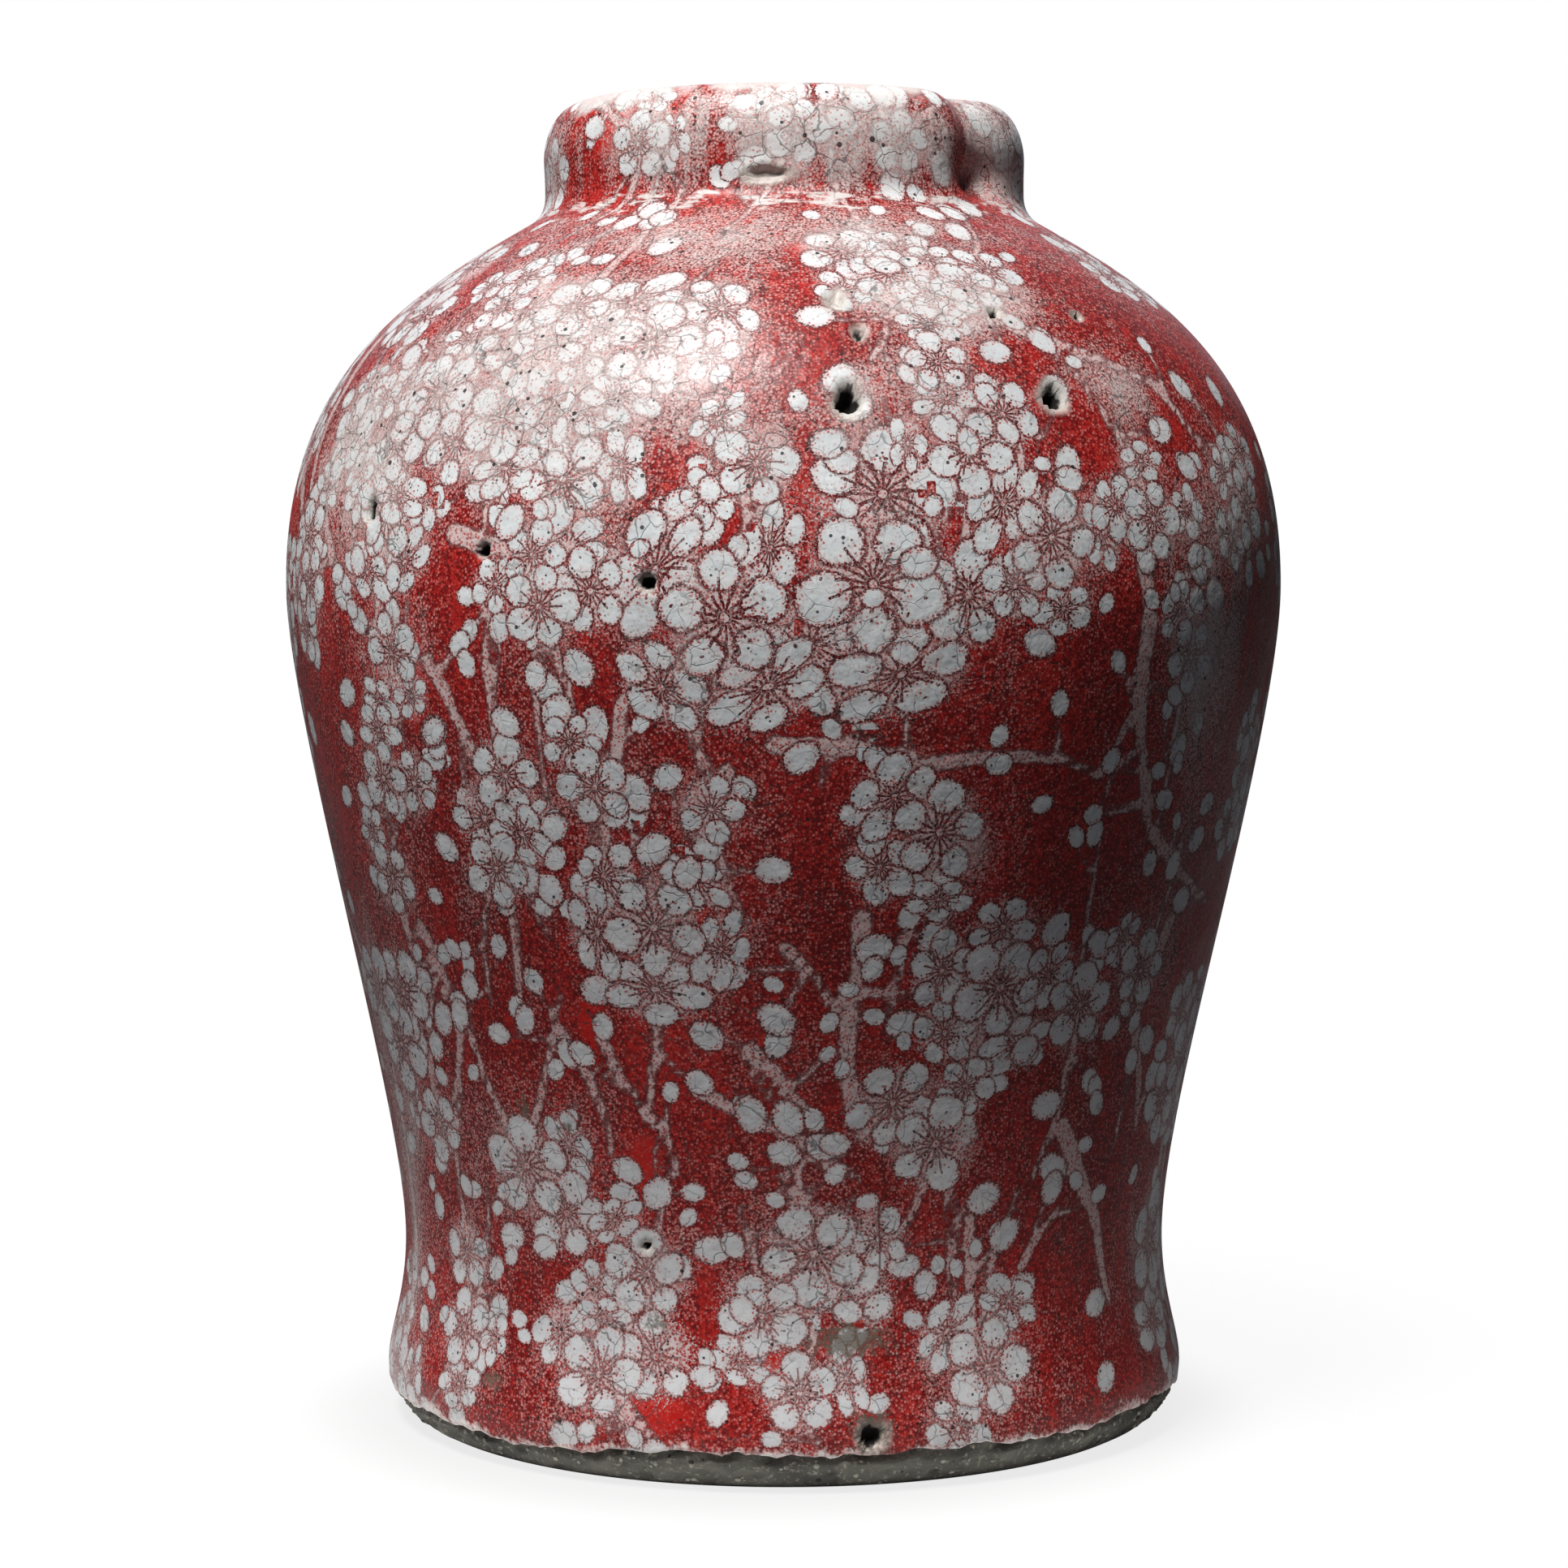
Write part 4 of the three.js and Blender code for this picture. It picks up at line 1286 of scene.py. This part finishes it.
    # The glaze thins to a pale ragged line over 2 mm at the foot
    hem = add(tree, MATH, [mottle, 11.0, field["glaze_edge"]], operation="MULTIPLY_ADD")
    hem = add(tree, MATH, [dark, 6.0, hem], operation="MULTIPLY_ADD")
    hem = add(tree, RANGE, [hem, 11.0, 9.0, 0.0, 0.85])
    frayed = add(tree, MIX, [half, tint["slip"], tint["pink"]], data_type="RGBA")
    image = add(tree, MIX, [hem, image, frayed], data_type="RGBA")
    # Craters: a pale burnt ring, smoke stains, then bare black clay
    ring = add(tree, MATH, [mottle, 0.8, field["halo"]], operation="MULTIPLY_ADD")
    ring = add(tree, RANGE, [ring, 0.85, 1.15, 0.0, 0.75])
    image = add(tree, MIX, [ring, image, tint["burnt"]], data_type="RGBA")
    stain = add(tree, MATH, [dark, 1.8, field["soot"]], operation="MULTIPLY_ADD")
    stain = add(tree, RANGE, [stain, 1.2, 1.6, 0.0, 0.8])
    image = add(tree, MIX, [stain, image, tint["soot"]], data_type="RGBA")
    hole = add(tree, MATH, [dark, 0.5, field["hole"]], operation="MULTIPLY_ADD")
    hole = add(tree, RANGE, [hole, 0.55, 0.85])
    image = add(tree, MIX, [hole, image, tint["speck"]], data_type="RGBA")
    # Gloss with a fine orange peel of 3 mm, dull in the craters
    gloss = add(tree, RANGE, [mottle, 0.35, 0.7, 0.32, 0.5])
    gloss = add(tree, MATH, [hole, gloss], operation="MAXIMUM")
    peel = add(tree, NOISE, {"Vector": where, "Scale": 330, "Detail": 2})
    relief = add(tree, MATH, [crack, -0.35, peel], operation="MULTIPLY_ADD")
    bump = add(tree, "ShaderNodeBump", {"Strength": 0.45, "Distance": 0.0005, "Height": relief})
    shader = add(
        tree, "ShaderNodeBsdfPrincipled",
        {"Base Color": image, "Roughness": gloss, "IOR": 1.5, "Specular IOR Level": 0.22, "Normal": bump},
    )
    add(tree, "ShaderNodeOutputMaterial", [shader])
    return material


def clay_material(name, clay):
    """Grogged stoneware, smoked grey in the reduction: matt, gritty, with black pores and pale grains."""
    material, tree = new_material(name)
    spot = add(tree, "ShaderNodeTexCoord")
    where = (spot, "Object")
    tint = tints(VaseClay, clay)
    cloud = add(tree, NOISE, {"Vector": where, "Scale": 55, "Detail": 5, "Roughness": 0.65})
    grit = add(tree, NOISE, {"Vector": where, "Scale": 800, "Detail": 3, "Roughness": 0.65})
    shade = add(tree, RANGE, [cloud, 0.38, 0.62])
    body = add(tree, MIX, [shade, tint["smoked"], tint["body"]], data_type="RGBA")
    sand = add(tree, RANGE, [grit, 0.56, 0.72, 0.0, 0.8])
    body = add(tree, MIX, [sand, body, tint["grog"]], data_type="RGBA")
    # Pores of 0.5 to 1 mm
    pore = add(tree, CELLS, {"Vector": where, "Scale": 330})
    chosen = add(tree, "ShaderNodeSeparateColor", [(pore, "Color")])
    reach = add(tree, RANGE, [(chosen, "Green"), 0.5, 1.0, 0.0, 0.26])
    pit = add(tree, MATH, [(pore, "Distance"), reach], operation="LESS_THAN")
    pit = add(tree, MATH, [pit, 0.85], operation="MULTIPLY")
    body = add(tree, MIX, [pit, body, tint["pore"]], data_type="RGBA")
    rough = add(tree, RANGE, [grit, 0.3, 0.7, 0.8, 0.97])
    relief = add(tree, MATH, [pit, -0.8, grit], operation="MULTIPLY_ADD")
    bump = add(tree, "ShaderNodeBump", {"Strength": 0.7, "Distance": 0.0006, "Height": relief})
    shader = add(
        tree, "ShaderNodeBsdfPrincipled",
        {"Base Color": body, "Roughness": rough, "IOR": 1.5, "Normal": bump},
    )
    add(tree, "ShaderNodeOutputMaterial", [shader])
    return material


def grog_material(clay):
    """Crushed fireclay: pale, dry, each grain its own shade."""
    material, tree = new_material("crushed_fireclay")
    spot = add(tree, "ShaderNodeTexCoord")
    # One shade a grain, over about 2 mm
    shade = add(tree, NOISE, {"Vector": (spot, "Object"), "Scale": 500, "Detail": 1})
    mix = add(tree, RANGE, [shade, 0.4, 0.6])
    tint = tints(VaseClay, clay)
    tone = add(tree, MIX, [mix, tint["body"], tint["grog"]], data_type="RGBA")
    rough = add(tree, RANGE, [shade, 0.3, 0.7, 0.7, 0.95])
    shader = add(tree, "ShaderNodeBsdfPrincipled", {"Base Color": tone, "Roughness": rough, "IOR": 1.5})
    add(tree, "ShaderNodeOutputMaterial", [shader])
    return material


def floor_material(stage):
    """Matt white paper that keeps the shadow near the vase and runs into the white background, with a
    painted shadow in its glow round the foot.
    """
    material, tree = new_material("white_paper")
    spot = add(tree, "ShaderNodeTexCoord")
    flat = add(tree, VECTOR, [(spot, "Object"), (1, 1, 0)], operation="MULTIPLY")
    away = add(tree, VECTOR, [flat], operation="LENGTH")
    far = add(tree, RANGE, [away, 0.08, 0.26, stage.floor_glow, 1.0], interpolation_type="SMOOTHSTEP")
    seen = seen_share(tree, stage)
    glow = add(tree, MATH, [seen, far], operation="MULTIPLY")
    near = add(tree, RANGE, [away, 0.2, 0.11], interpolation_type="SMOOTHSTEP")
    tint = tints(VaseStage, stage)
    dull = add(tree, MIX, [near, tint["bounce"], tint["near"]], data_type="RGBA")
    sheet = add(tree, MIX, [seen, dull, tint["floor"]], data_type="RGBA")
    paper = add(tree, "ShaderNodeBsdfDiffuse", {"Color": sheet})
    # A painted shadow: the white glow dims round the foot, as if the vase held back the even light, fading
    # over 36 mm
    beside = add(tree, VECTOR, [flat, (0.003, 0.004, 0)], operation="ADD")
    beside = add(tree, VECTOR, [beside], operation="LENGTH")
    painted_shadow = add(tree, RANGE, [beside, 0.084, 0.12, 0.86, 1.0], interpolation_type="SMOOTHSTEP")
    white = add(tree, "ShaderNodeEmission", {"Color": (1, 1, 1, 1), "Strength": painted_shadow})
    mixed = add(tree, "ShaderNodeMixShader", [glow, paper, white])
    add(tree, "ShaderNodeOutputMaterial", [mixed])
    return material


# Clay sections

JOINT = 1.6
LUTING = 1.0
BOND = 0.3
FLOOR_LOW = 5.6
FLOOR_TOP = 15.6
LEDGE = 4.0
LEDGE_WIDTH = 10.5
SEAT = 271.0
TONGUE = 3.0
BEHIND_SKIN = 0.5
RING_DEPTH = 0.5
RING_PITCH = 9
FOOT_PORES = 220


class ClaySections:
    """Outlines of the turned sections in mm, from the foot upwards."""

    def __init__(self, sizes):
        self.sizes = sizes
        self.bare = sizes.outline.inset(sizes.coat)
        self.outer = sizes.outline.inset(sizes.coat + BEHIND_SKIN)
        self.inner = sizes.outline.inset(sizes.coat + sizes.wall)
        self.rebate = self.inner.between(FLOOR_TOP, FLOOR_TOP + 1, 1)[0, 0]
        self.ledge = self.rebate - LEDGE_WIDTH

    def tongue(self, height):
        """The V across the belly joint, from the outer face to the inner one."""
        outer = self.sizes.belly_radius - self.sizes.coat - BEHIND_SKIN
        inner = self.sizes.belly_radius - self.sizes.coat - self.sizes.wall
        share = (outer - inner) / 4
        middle = (outer + inner) / 2, height + TONGUE
        return [(outer, height), (outer - share, height), middle, (inner + share, height), (inner, height)]

    def floor(self):
        rim = self.rebate - BOND
        under = [(r, FLOOR_LOW) for r in np.linspace(0, rim, 20)]
        return under + [(r, FLOOR_TOP) for r in np.linspace(rim, 0, 60)]

    def floor_luting(self):
        rim, low = self.rebate - BOND, LEDGE + BOND
        return [(self.ledge, low), (rim, low), (rim, low + LUTING), (self.ledge, low + LUTING)]

    def lower(self):
        top = self.sizes.belly_height - JOINT / 2
        rim = self.bare.between(0, 1, 1)[0, 0] - FOOT_WORN
        foot = [(r, 0) for r in np.linspace(self.ledge, rim, 9)]
        band = self.bare.between(0.4, 18, 0.8)
        outer = self.outer.between(20, top - 2, 4)
        inner = self.inner.between(FLOOR_TOP, top - 2, 2.5)[::-1]
        step = [(self.rebate, LEDGE), (self.ledge, LEDGE)]
        return np.concatenate([foot, band, outer, self.tongue(top), inner, step])

    def belly_luting(self):
        low = self.sizes.belly_height - JOINT / 2 + BOND
        sunk = np.array([BEHIND_SKIN * 4, 0])
        return np.concatenate([np.array(self.tongue(low))[::-1] - sunk, self.tongue(low + LUTING) - sunk])

    def shoulder(self):
        low, top = self.sizes.belly_height + JOINT / 2, SEAT - JOINT / 2
        outer = self.outer.between(low + 2, top, 3)
        inner = self.inner.between(low + 2, top - 7, 2.5)[::-1]
        bore = [(self.sizes.bore, top), (self.sizes.bore, top - self.sizes.wall / 2)]
        return np.concatenate([outer, bore, inner, self.tongue(low)[::-1]])

    def collar_luting(self):
        low = SEAT - LUTING / 2
        rim = self.outer.between(low, low + LUTING, LUTING)
        return np.concatenate([[(self.sizes.bore, low)], rim, [(self.sizes.bore, low + LUTING)]])

    def collar(self):
        low = SEAT + JOINT / 2
        start = self.bare.at_height(low)
        radius, height = self.bare.read(np.linspace(start, self.bare.length, 50))[:2]
        inside = [(self.sizes.bore, z) for z in np.linspace(height[-1] - 1, low, 6)]
        return np.concatenate([np.c_[radius, height], inside])


def weather(sizes, mesh):
    """Works the craters' hollows, throwing rings, press and rough foot into a turned mesh."""
    points = mesh_points(mesh)
    radius = np.hypot(points[:, 0], points[:, 1])
    angle = np.arctan2(points[:, 0], -points[:, 1])
    height = points[:, 2]
    along = sizes.outline.at_height(height)
    surface = sizes.outline.read(along)[0]
    outside = 1 - smooth(surface - radius, sizes.coat + 1.5, sizes.coat + 4)
    inside = 1 - outside
    share = press(sizes, angle, height)
    shift = -dimples(sizes, angle, along) * outside - PRESS_DEPTH * share
    shift += inside * RING_DEPTH * np.sin(2 * math.pi * height / RING_PITCH + angle)
    bare = outside * (1 - smooth(height, 15, 18)) * smooth(height, 0.8, 2.2)
    rough = roughen(points, 7, 0.32, 5) + roughen(points, 2.6, 0.2, 6)
    shift += bare * (rough - pore_depth(points, 8))
    edge = sizes.glaze_line + glaze_wave(angle)
    shift += 1.45 * outside * (1 - smooth(height, edge - 1.6, edge + 0.6))
    shift += outside * smooth(height, 0.1, 0.3) * foot_round(height)
    moved = np.maximum(radius + shift, 0) / np.maximum(radius, 1e-6)
    points[:, 0] *= moved
    points[:, 1] *= moved
    points[:, 2] -= LIP_DIP * share
    place_points(mesh, points)
    set_attribute(mesh, "bare", "FLOAT", "POINT", bare)


def pore_depth(points, seed):
    """Small torn pores scattered round the bare foot band, as a depth in mm."""
    rng = np.random.default_rng(seed)
    angle = np.arctan2(points[:, 0], -points[:, 1])
    depth = np.zeros(len(points))
    for _ in range(FOOT_PORES):
        x = 88 * wrap(angle - rng.uniform(-math.pi, math.pi)) / rng.uniform(0.8, 2.0)
        y = (points[:, 2] - rng.uniform(1, 11)) / rng.uniform(0.6, 1.3)
        depth = np.maximum(depth, rng.uniform(0.6, 1.5) * np.exp(-((x * x + y * y) ** 2)))
    return depth


# Operators

class VASE_OT_stage(bpy.types.Operator):
    """Sets the camera, the soft studio light and the white paper floor"""

    bl_idname = "vase.stage"
    bl_label = "Stage"

    def execute(self, context):
        stage = context.scene.vase_stage
        scene = context.scene
        scene.view_settings.view_transform = "Standard"
        lens = bpy.data.cameras.new("camera")
        lens.sensor_width = 36
        lens.lens = stage.lens
        camera = bpy.data.objects.new("camera", lens)
        camera.location = (0, -stage.camera_distance, stage.camera_height)
        camera.rotation_euler = (math.pi / 2 - stage.camera_pitch, 0, 0)
        scene.collection.objects.link(camera)
        scene.camera = camera
        aim = Vector((0, 0, VaseForm.bl_rna.properties["height"].default / 2))
        # Name, azimuth, elevation, distance, size, power and tint
        lamps = [
            ("key", stage.key_azimuth, stage.key_elevation, 2.6, stage.key_size, stage.key_power, "FFFEFC"),
            ("back_fill", math.pi, math.radians(35), 1.6, 2.0, stage.fill_power, "EAF0FF"),
        ]
        for name, azimuth, elevation, away, size, power, tint in lamps:
            lamp = bpy.data.lights.new(name, "AREA")
            lamp.shape = "DISK"
            lamp.size = size
            lamp.energy = power
            lamp.color = linear(tint)
            level = math.cos(elevation)
            way = Vector((level * math.sin(azimuth), -level * math.cos(azimuth), math.sin(elevation)))
            holder = bpy.data.objects.new(name, lamp)
            holder.location = aim + way * away
            holder.rotation_euler = way.to_track_quat("Z", "Y").to_euler()
            scene.collection.objects.link(holder)
        self.sky(scene, stage)
        self.floor(scene, stage)
        return {"FINISHED"}

    def sky(self, scene, stage):
        """Even light from all round, seen as white"""
        world = bpy.data.worlds.new("studio")
        world.use_nodes = True
        tree = world.node_tree
        tree.nodes.clear()
        seen = seen_share(tree, stage)
        dim = add(tree, "ShaderNodeBackground", [(*stage.sky_colour, 1.0), stage.sky_light])
        white = add(tree, "ShaderNodeBackground", [(1, 1, 1, 1), 1.0])
        mixed = add(tree, "ShaderNodeMixShader", [seen, dim, white])
        add(tree, "ShaderNodeOutputWorld", [mixed])
        scene.world = world

    def floor(self, scene, stage):
        """A round sheet of paper under the vase"""
        work = bmesh.new()
        bmesh.ops.create_circle(work, cap_ends=True, segments=96, radius=4)
        mesh = bpy.data.meshes.new("paper_floor")
        work.to_mesh(mesh)
        work.free()
        mesh.materials.append(floor_material(stage))
        paper = bpy.data.objects.new("paper_floor", mesh)
        scene.collection.objects.link(paper)


class VASE_OT_skin(bpy.types.Operator):
    """Makes the glazed skin with its print, craters and ragged foot edge"""

    bl_idname = "vase.skin"
    bl_label = "Glazed skin"

    def execute(self, context):
        sizes = VaseSizes(context.scene.vase_form)
        look = context.scene.vase_print
        mesh = make_skin(sizes, look)
        mesh.materials.append(glaze_material(look))
        add_piece("glazed_skin", mesh, ["slip_coat", "glaze_coat"])
        return {"FINISHED"}


class VASE_OT_clay(bpy.types.Operator):
    """Turns the clay sections and roughens the bare foot"""

    bl_idname = "vase.clay"
    bl_label = "Clay sections"

    def execute(self, context):
        sizes = VaseSizes(context.scene.vase_form)
        clay = context.scene.vase_clay
        finish = clay_material("smoked_grogged_stoneware", clay)
        cut = ClaySections(sizes)
        tree = turning_tree()
        rows = [
            ("clay_floor", "floor_disc", cut.floor(), 96, False),
            ("clay_lower_wall", "lower_wall", cut.lower(), 400, True),
            ("clay_shoulder", "shoulder_wall", cut.shoulder(), 160, True),
            ("clay_collar", "neck_collar", cut.collar(), 160, True),
        ]
        for name, node, outline, columns, closed in rows:
            mesh = turned_mesh(tree, name, outline, columns, finish, closed)
            if node == "floor_disc":
                swirl_floor(mesh)
            else:
                weather(sizes, mesh)
            add_piece(name, mesh, [node])
        return {"FINISHED"}


class VASE_OT_luting(bpy.types.Operator):
    """Turns the rings of joining slip between the clay sections"""

    bl_idname = "vase.luting"
    bl_label = "Luting rings"

    def execute(self, context):
        cut = ClaySections(VaseSizes(context.scene.vase_form))
        finish = clay_material("fired_joining_slip", context.scene.vase_clay)
        tree = turning_tree()
        rows = [
            ("luting_floor", "floor_luting", cut.floor_luting()),
            ("luting_belly", "belly_luting", cut.belly_luting()),
            ("luting_collar", "collar_luting", cut.collar_luting()),
        ]
        for name, node, outline in rows:
            mesh = turned_mesh(tree, name, outline, 120, finish)
            add_piece(name, mesh, [node])
        return {"FINISHED"}


class VASE_OT_grog(bpy.types.Operator):
    """Scatters grog grains over the bare foot"""

    bl_idname = "vase.grog"
    bl_label = "Grog grains"

    def execute(self, context):
        clay = context.scene.vase_clay
        values = {
            "Density": clay.grog_density,
            "Size": clay.grog_size,
            "Seed": clay.seed,
            "Finish": grog_material(clay),
        }
        source = bpy.data.objects["clay_lower_wall"].data.copy()
        mesh = run_tree(grain_tree(), source, values)
        mesh.name = "grog_grains"
        if not len(mesh.polygons):
            raise RuntimeError("no grog grains were made")
        add_piece("grog_grains", mesh, [])
        return {"FINISHED"}


OPERATORS = (VASE_OT_stage, VASE_OT_skin, VASE_OT_clay, VASE_OT_luting, VASE_OT_grog)


class VASE_PT_panel(bpy.types.Panel):
    """Sizes, colours and making steps of the vase"""

    bl_label = "Raku Vase"
    bl_idname = "VASE_PT_panel"
    bl_space_type = "VIEW_3D"
    bl_region_type = "UI"
    bl_category = "Vase"

    def draw(self, context):
        for group in GROUPS:
            box = self.layout.box()
            for name in GROUPS[group].__annotations__:
                box.prop(getattr(context.scene, group), name)
        for operator in OPERATORS:
            self.layout.operator(operator.bl_idname)


GROUPS = {"vase_form": VaseForm, "vase_print": VasePrint, "vase_clay": VaseClay, "vase_stage": VaseStage}
CLASSES = (*GROUPS.values(), *OPERATORS, VASE_PT_panel)


def register():
    for each in CLASSES:
        bpy.utils.register_class(each)
    for name, group in GROUPS.items():
        setattr(bpy.types.Scene, name, PointerProperty(type=group))


def unregister():
    for name in GROUPS:
        delattr(bpy.types.Scene, name)
    for each in reversed(CLASSES):
        bpy.utils.unregister_class(each)


def main():
    register()
    bpy.ops.vase.stage()
    bpy.ops.vase.skin()
    bpy.ops.vase.clay()
    bpy.ops.vase.luting()
    bpy.ops.vase.grog()


if __name__ == "__main__":
    main()
